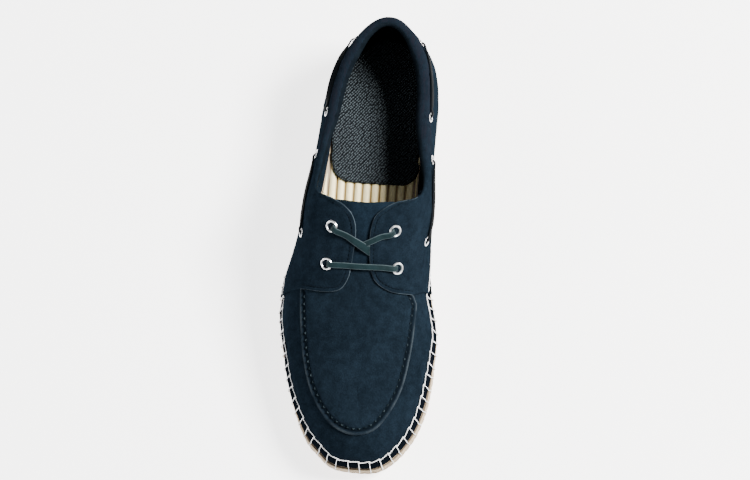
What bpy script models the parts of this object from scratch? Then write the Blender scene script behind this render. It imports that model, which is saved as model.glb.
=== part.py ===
"""Right-foot lace-up espadrille: a suede boat-shoe upper on a jute rope sole.

Sizes are in millimetres and become metres where a mesh is made. x runs from the lateral side (-) to the
medial side (+), y from the tip of the toe to the back of the heel, and z up from the ground. The finished
shoe stands on its sole with its toe towards -Y, centred on the world origin.
"""

import math
from collections import namedtuple

import bmesh
import bpy
from mathutils import Vector
from mathutils.bvhtree import BVHTree

MM = 0.001

# ---------------------------------------------------------------- driving sizes
LENGTH = 291.0
GAP = 0.3

STATIONS = 84
HALF = STATIONS // 2
PROFILE_TURNS = (0, 1.5, 5, 10, 17, 26, 36, 47, 59, 73, 90)

TOE_SPRING = 6.5
SPRING_LENGTH = 62.0
ARCH_RISE = 1.4
ARCH_START = 128.0
ARCH_END = 222.0
RUBBER = 3.6
RUBBER_INSET = 0.9
RUBBER_EDGE = 0.8

LEDGE = 1.4
FLARE = 1.3
FLARE_HEIGHT = 10.0

VAMP_WALL = 2.0
APRON_LEVEL = 3.6
QUARTER_WALL = 3.4
FLAP_RISE = 1.9
COLLAR_PAD = 1.8
TONGUE_EDGE = 1.4
TONGUE_BODY = 1.6
TONGUE_CLEARANCE = 0.5

PUNCH_CLEARANCE = 0.4
SEAT_GAP = 0.5

SOCK_THICKNESS = 1.6
SOCK_MARGIN = 1.2

TONGUE_FRONT = 119.6
TONGUE_REAR = 159.5

# ---------------------------------------------------------------- tables, one row for each section
Sole = namedtuple("Sole", "y lateral medial")
SOLE = (
    Sole(0, -0.4, -0.4),
    Sole(1, -13.6, 10.2),
    Sole(4, -20.9, 16.4),
    Sole(9, -26.4, 22.3),
    Sole(19, -35.5, 30.2),
    Sole(34, -43.0, 37.3),
    Sole(50, -48.7, 41.3),
    Sole(70, -53.4, 43.6),
    Sole(86, -56.5, 44.4),
    Sole(102, -58.3, 42.4),
    Sole(118, -56.9, 38.9),
    Sole(138, -51.5, 35.0),
    Sole(160, -45.3, 31.4),
    Sole(185, -40.0, 29.8),
    Sole(212, -36.8, 31.4),
    Sole(240, -35.0, 33.6),
    Sole(260, -31.0, 32.0),
    Sole(275, -22.8, 25.8),
    Sole(286, -11.6, 15.4),
    Sole(290, -4.2, 8.2),
    Sole(291, 2.0, 2.0),
)

Seat = namedtuple("Seat", "y height")
SEAT = (Seat(0, 20.0), Seat(60, 20.8), Seat(105, 21.6), Seat(180, 24.6), Seat(240, 27.0), Seat(291, 27.6))

Crown = namedtuple("Crown", "y x height")
CROWN = (
    Crown(29, -1.5, 47.5),
    Crown(50, -3.6, 50.5),
    Crown(75, -5.2, 55.5),
    Crown(100, -6.2, 63.5),
    Crown(125, -6.2, 74.5),
    Crown(150, -5.6, 86.5),
    Crown(172, -4.6, 94.0),
    Crown(200, -2.4, 95.0),
    Crown(232, -0.4, 94.0),
    Crown(256, 2.2, 101.0),
)

# Of each side: power of the wall's curve, how far it swells over the sole, and how high up the swell peaks.
Body = namedtuple("Body", "y lateral_power medial_power lateral_swell medial_swell lateral_peak medial_peak")
BODY = (
    Body(0, 2.0, 2.0, 0.0, 0.0, 0.22, 0.22),
    Body(60, 2.1, 2.1, 0.0, 0.0, 0.22, 0.22),
    Body(86, 2.2, 2.2, 0.0, 0.0, 0.22, 0.22),
    Body(112, 2.25, 2.25, 0.6, 0.0, 0.22, 0.22),
    Body(138, 2.45, 2.5, 1.7, 4.0, 0.22, 0.22),
    Body(168, 3.2, 3.9, 4.2, 8.2, 0.35, 0.45),
    Body(184, 3.0, 3.9, 5.0, 8.3, 0.33, 0.44),
    Body(205, 2.4, 3.0, 5.6, 7.0, 0.30, 0.31),
    Body(230, 2.2, 2.2, 5.0, 4.9, 0.19, 0.20),
    Body(262, 2.4, 2.5, 3.0, 3.6, 0.20, 0.22),
    Body(291, 2.85, 2.85, 1.4, 1.4, 0.22, 0.22),
)

Topline = namedtuple("Topline", "y height")
TOPLINE = (
    Topline(152, 118.0),
    Topline(158, 97.0),
    Topline(162, 90.0),
    Topline(166, 84.0),
    Topline(170, 79.8),
    Topline(175, 76.3),
    Topline(180, 74.0),
    Topline(190, 71.0),
    Topline(205, 68.0),
    Topline(222, 66.5),
    Topline(240, 68.5),
    Topline(258, 73.5),
    Topline(274, 79.0),
    Topline(286, 81.5),
    Topline(300, 82.0),
)

Side = namedtuple("Side", "out height")
JUTE_SIDE = (
    Side(-1.1, 0.00),
    Side(-0.1, 0.16),
    Side(-1.0, 0.33),
    Side(0.0, 0.43),
    Side(0.0, 0.58),
    Side(-0.9, 0.68),
    Side(0.0, 0.84),
    Side(-1.0, 1.00),
)

APRON_EDGE = (
    (-43.6, 124.0),
    (-44.2, 108.7),
    (-43.4, 90.0),
    (-39.4, 62.0),
    (-31.5, 39.8),
    (-19.0, 23.6),
    (-3.7, 17.4),
    (11.0, 23.4),
    (23.6, 45.0),
    (29.3, 71.8),
    (31.2, 103.0),
    (30.6, 124.0),
)

# The front seam runs from each flap's first point straight down the side, to here past the shoe.
SEAM_LATERAL = 114.0
SEAM_MEDIAL = 109.0

FLAP_LATERAL = (
    (-43.8, 107.6),
    (-33.0, 105.2),
    (-24.1, 104.6),
    (-17.2, 106.6),
    (-12.9, 113.4),
    (-11.1, 123.0),
    (-9.6, 140.0),
    (-12.2, 149.8),
    (-18.7, 156.4),
    (-26.7, 161.6),
    (-32.2, 168.6),
    (-33.3, 171.4),
)
FLAP_MEDIAL = (
    (28.3, 107.6),
    (15.7, 106.6),
    (5.4, 110.8),
    (0.6, 119.0),
    (-0.7, 131.0),
    (-0.6, 141.0),
    (2.0, 150.0),
    (8.6, 156.0),
    (18.9, 163.0),
    (26.0, 167.4),
    (27.8, 171.0),
)

SOCK_LINE = (
    (-32.0, 207.0),
    (-30.2, 198.0),
    (-27.0, 192.6),
    (-21.0, 189.4),
    (-12.0, 188.8),
    (14.0, 188.8),
    (20.5, 190.6),
    (24.6, 195.4),
    (26.4, 202.0),
)

# Middle of the throat, where the flaps have ended and nothing is left to cut.
THROAT_REAR = (
    (-28.0, 174.5),
    (-20.0, 179.0),
    (14.0, 180.0),
    (23.0, 175.0),
)

# Plan of the room between the flaps and the last, a little wider than the tongue.
TONGUE_ROOM_LINE = (
    (-36.2, TONGUE_FRONT - GAP),
    (-35.4, 136.0),
    (-32.2, TONGUE_REAR + 1.0),
    (20.8, TONGUE_REAR + 1.0),
    (24.0, 136.0),
    (23.7, TONGUE_FRONT - GAP),
)
TONGUE_EDGE_LINE = (
    (-35.5, TONGUE_FRONT),
    (-34.5, 136.0),
    (-31.0, TONGUE_REAR - 3.0),
    (-27.0, TONGUE_REAR + 0.6),
    (-5.5, TONGUE_REAR - 1.6),
    (15.5, TONGUE_REAR + 0.6),
    (19.5, TONGUE_REAR - 3.0),
    (22.5, 136.0),
    (23.0, TONGUE_FRONT),
)

Eyelet = namedtuple("Eyelet", "name x y")
EYELETS = (
    Eyelet("eyelet_front_lateral", -27.3, 121.4),
    Eyelet("eyelet_rear_lateral", -25.1, 143.4),
    Eyelet("eyelet_front_medial", 17.4, 121.6),
    Eyelet("eyelet_rear_medial", 14.8, 143.0),
)
Ring = namedtuple("Ring", "flange hole barrel depth rise punch sides")
LACE_RING = Ring(flange=4.5, hole=2.6, barrel=3.1, depth=1.6, rise=0.9, punch=3.2, sides=14)
SIDE_RING = Ring(flange=3.3, hole=1.95, barrel=2.4, depth=1.6, rise=0.7, punch=2.2, sides=10)

SideEyelet = namedtuple("SideEyelet", "y lateral_height medial_height")
SIDE_EYELETS = (
    SideEyelet(145, 58.0, 54.0),
    SideEyelet(197, 61.0, 62.0),
    SideEyelet(226, 58.5, 59.0),
    SideEyelet(273, 69.0, 69.0),
)
SIDES = (("lateral", -1.0), ("medial", 1.0))

# Flat undersides of the layers of the last, and heights between which the plan cutters run. Each has its
# own, so that no two cutters share a plane.
BOTTOMS = {
    "upper": 3.0,
    "apron_layer": 9.0,
    "quarter_layer": 1.0,
    "tongue": 13.0,
    "tongue_room": 11.0,
    "inside": -12.0,
    "tongue_inside": -11.0,
}
LEVELS = {
    "vamp_zone": (-20.0, 150.0),
    "apron_outline": (34.0, 120.0),
    "quarter_outline": (-10.0, 160.0),
    "tongue_outline": (32.0, 130.0),
    "tongue_room_outline": (30.0, 140.0),
    "sock_outline": (5.0, 60.0),
}
# The block that cuts the upper level with its seat: how far it reaches past the sole and how deep.
BED_MARGIN = 14.0
BED_DEPTH = 25.0
# Distances that clear the shoe on every side.
WIDE = 90.0
BEHIND = 330.0
ABOVE = 170.0

LACE_WIDTH = 3.8
LACE_THICKNESS = 1.1
SIDE_LACE_WIDTH = 4.4
SIDE_LACE_LIFT = 0.95
SIDE_LACE_BOW = 3.2
BAR_SAG = 1.2

# How a lace leaves an eyelet: distance from the hole's axis, and height over the leather.
Exit = namedtuple("Exit", "reach lift")
LACE_EXIT = (Exit(0.5, -1.0), Exit(0.6, 0.1), Exit(1.0, 1.25), Exit(1.9, 2.15), Exit(3.2, 2.45), Exit(4.8, 2.3))
SIDE_EXIT = (Exit(0.1, -0.8), Exit(0.2, 0.2), Exit(0.6, 1.4), Exit(1.6, 2.15), Exit(3.2, 2.25), Exit(5.2, 1.6))
# The rear laces: eyelet, where the lace ends in the throat, and its height over the skin on the way.
CROSSING = (
    ("eyelet_rear_lateral", (-1.5, 129.8), (Exit(0.40, 1.3), Exit(0.60, 1.1), Exit(0.80, 0.0), Exit(1.0, -1.0))),
    ("eyelet_rear_medial", (-4.8, 133.4), (Exit(0.45, 1.3), Exit(0.65, 1.2), Exit(0.80, 1.1), Exit(1.0, -0.3))),
)


# ---------------------------------------------------------------- curves
def ease(value, low, high):
    """Smooth step from 0 at low to 1 at high."""
    share = min(1.0, max(0.0, (value - low) / (high - low)))
    return share * share * (3.0 - 2.0 * share)


def turn(y):
    """Angle that stands for a distance along the shoe, so that round ends stay round between sections."""
    return math.acos(min(1.0, max(-1.0, 1.0 - 2.0 * y / LENGTH)))


def read(table, column, y, measure=turn):
    """Value of a table's column at y, on a smooth curve through its rows that never overshoots them."""
    knots = [measure(row.y) for row in table]
    values = [getattr(row, column) for row in table]
    here = measure(y)
    if here <= knots[0]:
        return values[0]
    if here >= knots[-1]:
        return values[-1]
    slopes = [(b - a) / (v - u) for a, b, u, v in zip(values, values[1:], knots, knots[1:])]
    tangents = [slopes[0]]
    for before, after in zip(slopes, slopes[1:]):
        rising = before * after > 0.0
        tangents.append(2.0 * before * after / (before + after) if rising else 0.0)
    tangents.append(slopes[-1])
    index = max(k for k, knot in enumerate(knots[:-1]) if knot <= here)
    width = knots[index + 1] - knots[index]
    t = (here - knots[index]) / width
    start = values[index] * (1 + 2 * t) * (1 - t) ** 2 + tangents[index] * width * t * (1 - t) ** 2
    end = values[index + 1] * t * t * (3 - 2 * t) + tangents[index + 1] * width * t * t * (t - 1)
    return start + end


def plain(y):
    """Distance itself, for tables whose ends aren't round."""
    return y


def through(points, per_span=5):
    """Smooth line through points of any dimension, with per_span steps between neighbours."""
    spots = [Vector(point) for point in points]
    line = []
    for k in range(len(spots) - 1):
        before = spots[max(k - 1, 0)]
        here, there = spots[k], spots[k + 1]
        after = spots[min(k + 2, len(spots) - 1)]
        for step in range(per_span):
            t = step / per_span
            leave, arrive = (there - before) * 0.5, (after - here) * 0.5
            line.append(here * ((1 + 2 * t) * (1 - t) ** 2) + there * (t * t * (3 - 2 * t))
                        + leave * (t * (1 - t) ** 2) + arrive * (t * t * (t - 1)))
    line.append(spots[-1])
    return line


def centre_x():
    """Middle of the sole's width, which stands over the world's origin."""
    return (min(row.lateral for row in SOLE) + max(row.medial for row in SOLE)) / 2.0


CENTRE = centre_x()


def place(x, y, z):
    """Shoe millimetres to world metres."""
    return Vector(((x - CENTRE) * MM, (y - LENGTH / 2.0) * MM, z * MM))


# ---------------------------------------------------------------- the last
def station_y(index):
    """Distance from the toe of a station, counted from the toe along the lateral side and back."""
    return LENGTH * (1.0 - math.cos(2.0 * math.pi * index / STATIONS)) / 2.0


def outline_point(index, inset=0.0):
    """Point of the sole's outline at a station, moved inwards by inset."""
    def raw(k):
        k %= STATIONS
        y = station_y(k)
        return Vector((read(SOLE, "lateral" if k <= HALF else "medial", y), y))

    along = raw(index + 1) - raw(index - 1)
    inward = Vector((along.y, -along.x)).normalized()
    return raw(index) + inward * inset


def inset_at(y):
    """How far the last stands inside the sole's edge: the ledge and the wall of the upper."""
    return LEDGE + VAMP_WALL + (QUARTER_WALL - VAMP_WALL) * ease(y, 88.0, 112.0)


def last_point(index, turn_degrees):
    """Point of the bare last at a station, turn_degrees up its profile from feather edge to crown."""
    y = station_y(index % STATIONS)
    side = "lateral" if index % STATIONS <= HALF else "medial"
    foot = outline_point(index, inset_at(y))
    crown_y = CROWN[0].y + (CROWN[-1].y - CROWN[0].y) * y / LENGTH
    crown = Vector((read(CROWN, "x", crown_y, plain), crown_y))
    power, swell, peak = (read(BODY, f"{side}_{column}", y, plain) for column in ("power", "swell", "peak"))
    angle = math.radians(turn_degrees)
    reach = max(0.0, math.cos(angle)) ** (2.0 / power)
    rise = math.sin(angle) ** (2.0 / power)
    hump = rise / peak * math.exp(1.0 - rise / peak) * (1.0 - rise ** 8)
    seat = read(SEAT, "height", y, plain)
    climb = (read(CROWN, "height", crown_y, plain) - seat) * rise
    skirt = FLARE * (1.0 - min(1.0, climb / FLARE_HEIGHT)) ** 2
    outward = outline_point(index, -1.0) - outline_point(index)
    spot = crown + (foot - crown) * reach + outward * (swell * hump + skirt)
    return Vector((spot.x, spot.y, seat + climb))


def topline(y):
    """Height of the collar's edge."""
    return read(TOPLINE, "height", y, plain)


def offset_vamp(y, z, angle):
    """Outer face of the vamp."""
    return VAMP_WALL


def offset_apron(y, z, angle):
    """Outer face of the apron, a layer that stands proud of the vamp."""
    return APRON_LEVEL


def offset_quarter(y, z, angle):
    """Outer face of the quarters, which rise over the tongue as eyestay flaps."""
    return QUARTER_WALL + FLAP_RISE * ease(angle, 30, 52) * (1.0 - ease(y, 168, 188))


def offset_inside(y, z, angle):
    """Inner face of the upper, padded inwards along the collar."""
    edge = topline(y)
    return -COLLAR_PAD * ease(z, edge - 26.0, edge - 8.0) * ease(y, 174, 190)


def offset_tongue(y, z, angle):
    """Outer face of the tongue, thinner towards its sides."""
    return TONGUE_EDGE + TONGUE_BODY * ease(angle, 35, 55)


def offset_tongue_inside(y, z, angle):
    """Inner face of the tongue."""
    return GAP


def offset_tongue_room(y, z, angle):
    """Room that the flaps leave for the tongue."""
    return offset_tongue(y, z, angle) + TONGUE_CLEARANCE


# ---------------------------------------------------------------- mesh helpers
def collection(name):
    """New collection in the scene."""
    made = bpy.data.collections.new(name)
    bpy.context.scene.collection.children.link(made)
    return made


def new_object(name, mesh, group):
    """Object for a mesh in a collection."""
    thing = bpy.data.objects.new(name, mesh)
    group.objects.link(thing)
    if group.name == "cutters":
        thing.display_type = "WIRE"
        thing.hide_render = True
    return thing


def mesh_from(name, bm):
    """Mesh datablock from a bmesh, which is freed."""
    mesh = bpy.data.meshes.new(name)
    bm.to_mesh(mesh)
    bm.free()
    return mesh


def boolean(target, tool, operation, solver="EXACT"):
    """Boolean of a tool on a target, left as a modifier."""
    modifier = target.modifiers.new(f"{operation.lower()} {tool.name}", "BOOLEAN")
    modifier.operation = operation
    modifier.solver = solver
    modifier.object = tool
    return modifier


def form(name, group, offset):
    """Closed solid of the last, grown by an offset function and carried straight down to its flat bottom.

    Every larger form has the same stations and profile rows, so the walls between two of them keep an even
    thickness.
    """
    bm = bmesh.new()
    rows = []
    for angle in PROFILE_TURNS[:-1]:
        rows.append([bm.verts.new(last_point(k, angle)) for k in range(STATIONS)])
    ridge = [bm.verts.new(last_point(k, 90)) for k in range(HALF + 1)]
    rows.append([ridge[min(k, STATIONS - k)] for k in range(STATIONS)])
    for low, high in zip(rows, rows[1:]):
        for k in range(STATIONS):
            after = (k + 1) % STATIONS
            corners = [low[k], high[k], high[after], low[after]]
            bm.faces.new(list(dict.fromkeys(corners)))
    bm.normal_update()
    moves = []
    for angle, row in zip(PROFILE_TURNS, rows):
        for vert in dict.fromkeys(row):
            moves.append((vert, vert.normal * offset(vert.co.y, vert.co.z, angle)))
    for vert, move in moves:
        vert.co += move
    skirt = bmesh.ops.extrude_edge_only(bm, edges=[edge for edge in bm.edges if edge.is_boundary])
    for item in skirt["geom"]:
        if isinstance(item, bmesh.types.BMVert):
            item.co.z = BOTTOMS[name]
    rim = [edge for edge in bm.edges if edge.is_boundary]
    bmesh.ops.contextual_create(bm, geom=rim)
    bmesh.ops.recalc_face_normals(bm, faces=bm.faces)
    for vert in bm.verts:
        vert.co = place(*vert.co)
    return new_object(name, mesh_from(name, bm), group)


def slab(name, group, rows):
    """Closed solid across the sole, from rows of (inset, height function), bottom first."""
    bm = bmesh.new()
    rings = []
    for inset, height in rows:
        ring = []
        for k in range(STATIONS):
            spot = outline_point(k, inset)
            ring.append(bm.verts.new(place(spot.x, spot.y, height(spot.y))))
        rings.append(ring)
    for low, high in zip(rings, rings[1:]):
        for k in range(STATIONS):
            after = (k + 1) % STATIONS
            bm.faces.new((low[k], low[after], high[after], high[k]))
    for ring in (rings[0], rings[-1]):
        for k in range(HALF):
            across = (STATIONS - k - 1) % STATIONS
            corners = [ring[k], ring[k + 1], ring[across], ring[(across + 1) % STATIONS]]
            bm.faces.new(list(dict.fromkeys(corners)))
    bmesh.ops.recalc_face_normals(bm, faces=bm.faces)
    return new_object(name, mesh_from(name, bm), group)


def prism(name, group, outline):
    """Upright solid over a plan outline: a filled flat curve with depth, turned into a welded mesh."""
    low, high = LEVELS[name]
    curve = bpy.data.curves.new(name, "CURVE")
    curve.dimensions = "2D"
    curve.fill_mode = "BOTH"
    curve.extrude = (high - low) / 2.0 * MM
    spline = curve.splines.new("POLY")
    spline.points.add(len(outline) - 1)
    for point, spot in zip(spline.points, outline):
        point.co = (*place(spot[0], spot[1], 0.0)[:2], 0.0, 1.0)
    spline.use_cyclic_u = True
    return welded(name, group, curve, place(CENTRE, LENGTH / 2.0, (low + high) / 2.0))


def side_prism(name, group, outline, half_width):
    """Solid that runs across the shoe over an outline of (y, z) points."""
    bm = bmesh.new()
    left = [bm.verts.new(place(CENTRE - half_width, y, z)) for y, z in outline]
    face = bm.faces.new(left)
    grown = bmesh.ops.extrude_face_region(bm, geom=[face])
    for item in grown["geom"]:
        if isinstance(item, bmesh.types.BMVert):
            item.co.x += 2.0 * half_width * MM
    bmesh.ops.recalc_face_normals(bm, faces=bm.faces)
    return new_object(name, mesh_from(name, bm), group)


def welded(name, group, curve, location):
    """Mesh object from a curve, with its caps welded to its sides."""
    guide = bpy.data.objects.new(name + "_guide", curve)
    guide.location = location
    bpy.context.scene.collection.objects.link(guide)
    bpy.context.view_layer.update()
    evaluated = guide.evaluated_get(bpy.context.evaluated_depsgraph_get())
    mesh = bpy.data.meshes.new_from_object(evaluated)
    bm = bmesh.new()
    bm.from_mesh(mesh)
    bmesh.ops.remove_doubles(bm, verts=bm.verts, dist=0.00001)
    bmesh.ops.recalc_face_normals(bm, faces=bm.faces)
    bm.to_mesh(mesh)
    bm.free()
    solid = new_object(name, mesh, group)
    solid.matrix_world = guide.matrix_world.copy()
    bpy.data.objects.remove(guide)
    return solid


def material(name, color, roughness, metallic=0.0):
    """Principled material."""
    made = bpy.data.materials.new(name)
    made.use_nodes = True
    shader = made.node_tree.nodes["Principled BSDF"]
    shader.inputs["Base Color"].default_value = (*color, 1.0)
    shader.inputs["Roughness"].default_value = roughness
    shader.inputs["Metallic"].default_value = metallic
    return made


def dress(thing, finish):
    """Give an object its only material."""
    thing.data.materials.clear()
    thing.data.materials.append(finish)


# ---------------------------------------------------------------- sole
def ground_line(y):
    """Underside of the shoe: toe spring in front, a slight arch at the waist."""
    spring = TOE_SPRING * max(0.0, 1.0 - y / SPRING_LENGTH) ** 2
    middle = ease(y, ARCH_START, (ARCH_START + ARCH_END) / 2.0)
    arch = ARCH_RISE * middle * (1.0 - ease(y, (ARCH_START + ARCH_END) / 2.0, ARCH_END))
    return spring + arch


def seat_line(y):
    """Top of the jute sole, which the upper stands on and the foot rests on."""
    return read(SEAT, "height", y, plain) - GAP


def make_outsole(group):
    """Rubber tread under the jute."""
    def top(y):
        return ground_line(y) + RUBBER

    def edge(y):
        return ground_line(y) + RUBBER_EDGE

    rows = ((RUBBER_INSET + RUBBER_EDGE, ground_line), (RUBBER_INSET, edge), (RUBBER_INSET, top))
    thing = slab("outsole", group, rows)
    dress(thing, material("gum_rubber", (0.42, 0.26, 0.13), 0.7))
    return thing


def make_midsole(group):
    """Jute braid sole with a ribbed side."""
    def level(share):
        def height(y):
            low = ground_line(y) + RUBBER + GAP
            return low + (seat_line(y) - low) * share
        return height

    thing = slab("jute_midsole", group, [(-row.out, level(row.height)) for row in JUTE_SIDE])
    dress(thing, material("jute", (0.72, 0.60, 0.42), 0.9))
    return thing


def top_of_seat(y):
    """Height of whatever lies on the jute: its gap above the seat."""
    return seat_line(y) + GAP


def make_insole(group, cutters):
    """Leather heel sock that lies on the jute inside the heel."""
    def high(y):
        return top_of_seat(y) + SOCK_THICKNESS

    inset = LEDGE + QUARTER_WALL + SOCK_MARGIN
    thing = slab("insole", group, ((inset, top_of_seat), (inset, high)))
    outline = [(-WIDE, BEHIND), (-WIDE, SOCK_LINE[0][1]), *SOCK_LINE, (WIDE, SOCK_LINE[-1][1]), (WIDE, BEHIND)]
    boolean(thing, prism("sock_outline", cutters, outline), "INTERSECT")
    dress(thing, material("sock_leather", (0.03, 0.035, 0.045), 0.55))
    return thing


# ---------------------------------------------------------------- upper
def quarter_outline():
    """Plan of both quarters: everything behind the front seam, less the throat between the flaps."""
    lateral = through(FLAP_LATERAL)
    medial = through(FLAP_MEDIAL)
    corners = [(WIDE, SEAM_MEDIAL), (WIDE, BEHIND), (-WIDE, BEHIND), (-WIDE, SEAM_LATERAL)]
    return lateral + list(THROAT_REAR) + medial[::-1] + corners


def tree_of(thing):
    """Search tree over an object's own mesh, in world metres."""
    mesh = thing.data
    return BVHTree.FromPolygons([vert.co for vert in mesh.vertices], [face.vertices for face in mesh.polygons])


def from_above(skin, x, y):
    """Point and normal of a skin under a plan position."""
    hit, normal, _, _ = skin.ray_cast(place(x, y, 300.0), Vector((0, 0, -1)))
    return hit, normal


def from_side(skin, side, y, height):
    """Point and normal of a skin seen from one side, -1 for lateral and 1 for medial."""
    hit, normal, _, _ = skin.ray_cast(place(CENTRE + 200.0 * side, y, height), Vector((-side, 0, 0)))
    return hit, normal


def eyelet_seats(skin):
    """Ring, point and normal of every eyelet on the quarters, by name."""
    seats = {eyelet.name: (LACE_RING, *from_above(skin, eyelet.x, eyelet.y)) for eyelet in EYELETS}
    for label, side in SIDES:
        for number, spot in enumerate(SIDE_EYELETS, 1):
            height = getattr(spot, f"{label}_height")
            seats[f"side_eyelet_{label}_{number}"] = (SIDE_RING, *from_side(skin, side, spot.y, height))
    return seats


def make_eyelets(group, seats):
    """Turned metal rings: a flange on the leather and a barrel in its hole."""
    steel = material("eyelet_metal", (0.72, 0.73, 0.75), 0.25, 1.0)
    for name, (ring, point, normal) in seats.items():
        profile = (
            (ring.hole, ring.rise - 0.3),
            (ring.hole + 0.6, ring.rise),
            (ring.flange - 0.5, ring.rise - 0.15),
            (ring.flange, 0.0),
            (ring.barrel, 0.0),
            (ring.barrel, -ring.depth),
            (ring.hole, -ring.depth),
        )
        mesh = bpy.data.meshes.new(name)
        edges = [(k, (k + 1) % len(profile)) for k in range(len(profile))]
        mesh.from_pydata([(r * MM, 0.0, z * MM) for r, z in profile], edges, [])
        thing = new_object(name, mesh, group)
        screw = thing.modifiers.new("turn", "SCREW")
        screw.axis = "Z"
        screw.steps = screw.render_steps = ring.sides
        screw.use_merge_vertices = True
        screw.merge_threshold = 0.00001
        thing.location = point + normal * SEAT_GAP * MM
        thing.rotation_mode = "QUATERNION"
        thing.rotation_quaternion = normal.to_track_quat("Z", "Y")
        dress(thing, steel)


def make_punches(cutters, seats):
    """Round punches for the eyelets' holes, all in one cutter."""
    bm = bmesh.new()
    for ring, point, normal in seats.values():
        radius = (ring.barrel + PUNCH_CLEARANCE) * MM
        made = bmesh.ops.create_cone(bm, cap_ends=True, segments=ring.sides, radius1=radius, radius2=radius,
                                     depth=2.0 * ring.punch * MM)
        turn_to = normal.to_track_quat("Z", "Y").to_matrix().to_4x4()
        turn_to.translation = point
        bmesh.ops.transform(bm, matrix=turn_to, verts=made["verts"])
    return new_object("punches", mesh_from("punches", bm), cutters)


def ribbon(name, group, path):
    """Flat lace along a path of (point, direction across, width): an open strip given its thickness."""
    bm = bmesh.new()
    pairs = []
    for point, across, width in path:
        half = across.normalized() * (width / 2.0 * MM)
        pairs.append((bm.verts.new(point - half), bm.verts.new(point + half)))
    for here, there in zip(pairs, pairs[1:]):
        bm.faces.new((here[0], there[0], there[1], here[1]))
    bmesh.ops.recalc_face_normals(bm, faces=bm.faces)
    thing = new_object(name, mesh_from(name, bm), group)
    wall = thing.modifiers.new("thickness", "SOLIDIFY")
    wall.thickness = LACE_THICKNESS * MM
    wall.offset = 0.0
    return thing


def smooth_path(path):
    """Path of (point, across, width) with its corners rounded."""
    points = through([spot[0] for spot in path], 2)
    across = through([spot[1] for spot in path], 2)
    widths = through([(spot[2], 0.0) for spot in path], 2)
    return [(point, side, width[0]) for point, side, width in zip(points, across, widths)]


def out_of_eyelet(seat, target, exit_rows, width):
    """Start of a lace: up through an eyelet's hole and over its rim, on its way to a target point."""
    ring, point, normal = seat
    heading = target - point
    flat = (heading - normal * heading.dot(normal)).normalized()
    across = flat.cross(normal)
    narrow = min(width, 2.0 * ring.hole - 1.4)
    path = []
    clear = ring.rise + SEAT_GAP + GAP + LACE_THICKNESS / 2.0
    for row in exit_rows:
        inside = row.lift < clear
        path.append((point + (flat * row.reach + normal * row.lift) * MM, across, narrow if inside else width))
    return path


def over_skin(skin, start, end, share, lift, drift=0.0):
    """Lace point part of the way between two plan positions, lift above the quarters' skin."""
    x = start[0] + (end[0] - start[0]) * share
    y = start[1] + (end[1] - start[1]) * share + drift
    point, normal = from_above(skin, x, y)
    across = Vector((end[0] - start[0], end[1] - start[1], 0.0)).cross(normal)
    return point + normal * lift * MM, across.normalized(), LACE_WIDTH


def reverse(path):
    """Path walked the other way, with its width direction kept on the same side."""
    return [(point, -across, width) for point, across, width in path[::-1]]


def make_front_laces(group, cutters, skin, seats):
    """The bar between the front eyelets, and the two rear laces that meet in the throat, joined."""
    spot = {eyelet.name: (eyelet.x, eyelet.y) for eyelet in EYELETS}
    left, right = "eyelet_front_lateral", "eyelet_front_medial"
    path = out_of_eyelet(seats[left], seats[right][1], LACE_EXIT, LACE_WIDTH)
    for share, lift in ((0.25, 1.5), (0.42, 1.1), (0.6, 1.1), (0.77, 1.5)):
        sag = BAR_SAG * math.sin(math.pi * share)
        path.append(over_skin(skin, spot[left], spot[right], share, lift, -sag))
    path += reverse(out_of_eyelet(seats[right], seats[left][1], LACE_EXIT, LACE_WIDTH))
    lace = material("lace", (0.02, 0.05, 0.055), 0.7)
    dress(ribbon("lace_bar", group, smooth_path(path)), lace)
    arms = []
    for name, end, rows in CROSSING:
        target, _ = from_above(skin, *end)
        path = out_of_eyelet(seats[name], target, LACE_EXIT, LACE_WIDTH)
        path += [over_skin(skin, spot[name], end, row.reach, row.lift) for row in rows]
        home = "lace_crossing" if not arms else "lace_arm"
        arms.append(ribbon(home, group if not arms else cutters, smooth_path(path)))
    boolean(arms[0], arms[1], "UNION")
    dress(arms[0], lace)


def make_side_laces(group, skin, seats):
    """The stretches of the side lace that show between the side eyelets, two on each side."""
    leather = material("side_lace", (0.015, 0.03, 0.04), 0.75)
    for label, side in SIDES:
        for part, first, belly in (("front", 1, SIDE_LACE_LIFT), ("rear", 3, SIDE_LACE_BOW)):
            start, end = (seats[f"side_eyelet_{label}_{first + k}"] for k in (0, 1))
            path = out_of_eyelet(start, end[1], SIDE_EXIT, SIDE_LACE_WIDTH)
            near, far = SIDE_EYELETS[first - 1], SIDE_EYELETS[first]
            low, high = (getattr(spot, f"{label}_height") for spot in (near, far))
            for share in (0.25, 0.5, 0.75):
                y = near.y + (far.y - near.y) * share
                point, normal = from_side(skin, side, y, low + (high - low) * share)
                lift = SIDE_LACE_LIFT + (belly - SIDE_LACE_LIFT) * math.sin(math.pi * share)
                across = (end[1] - start[1]).cross(normal).normalized()
                path.append((point + normal * lift * MM, across, SIDE_LACE_WIDTH))
            path += reverse(out_of_eyelet(end, start[1], SIDE_EXIT, SIDE_LACE_WIDTH))
            dress(ribbon(f"side_lace_{label}_{part}", group, smooth_path(path)), leather)


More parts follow.
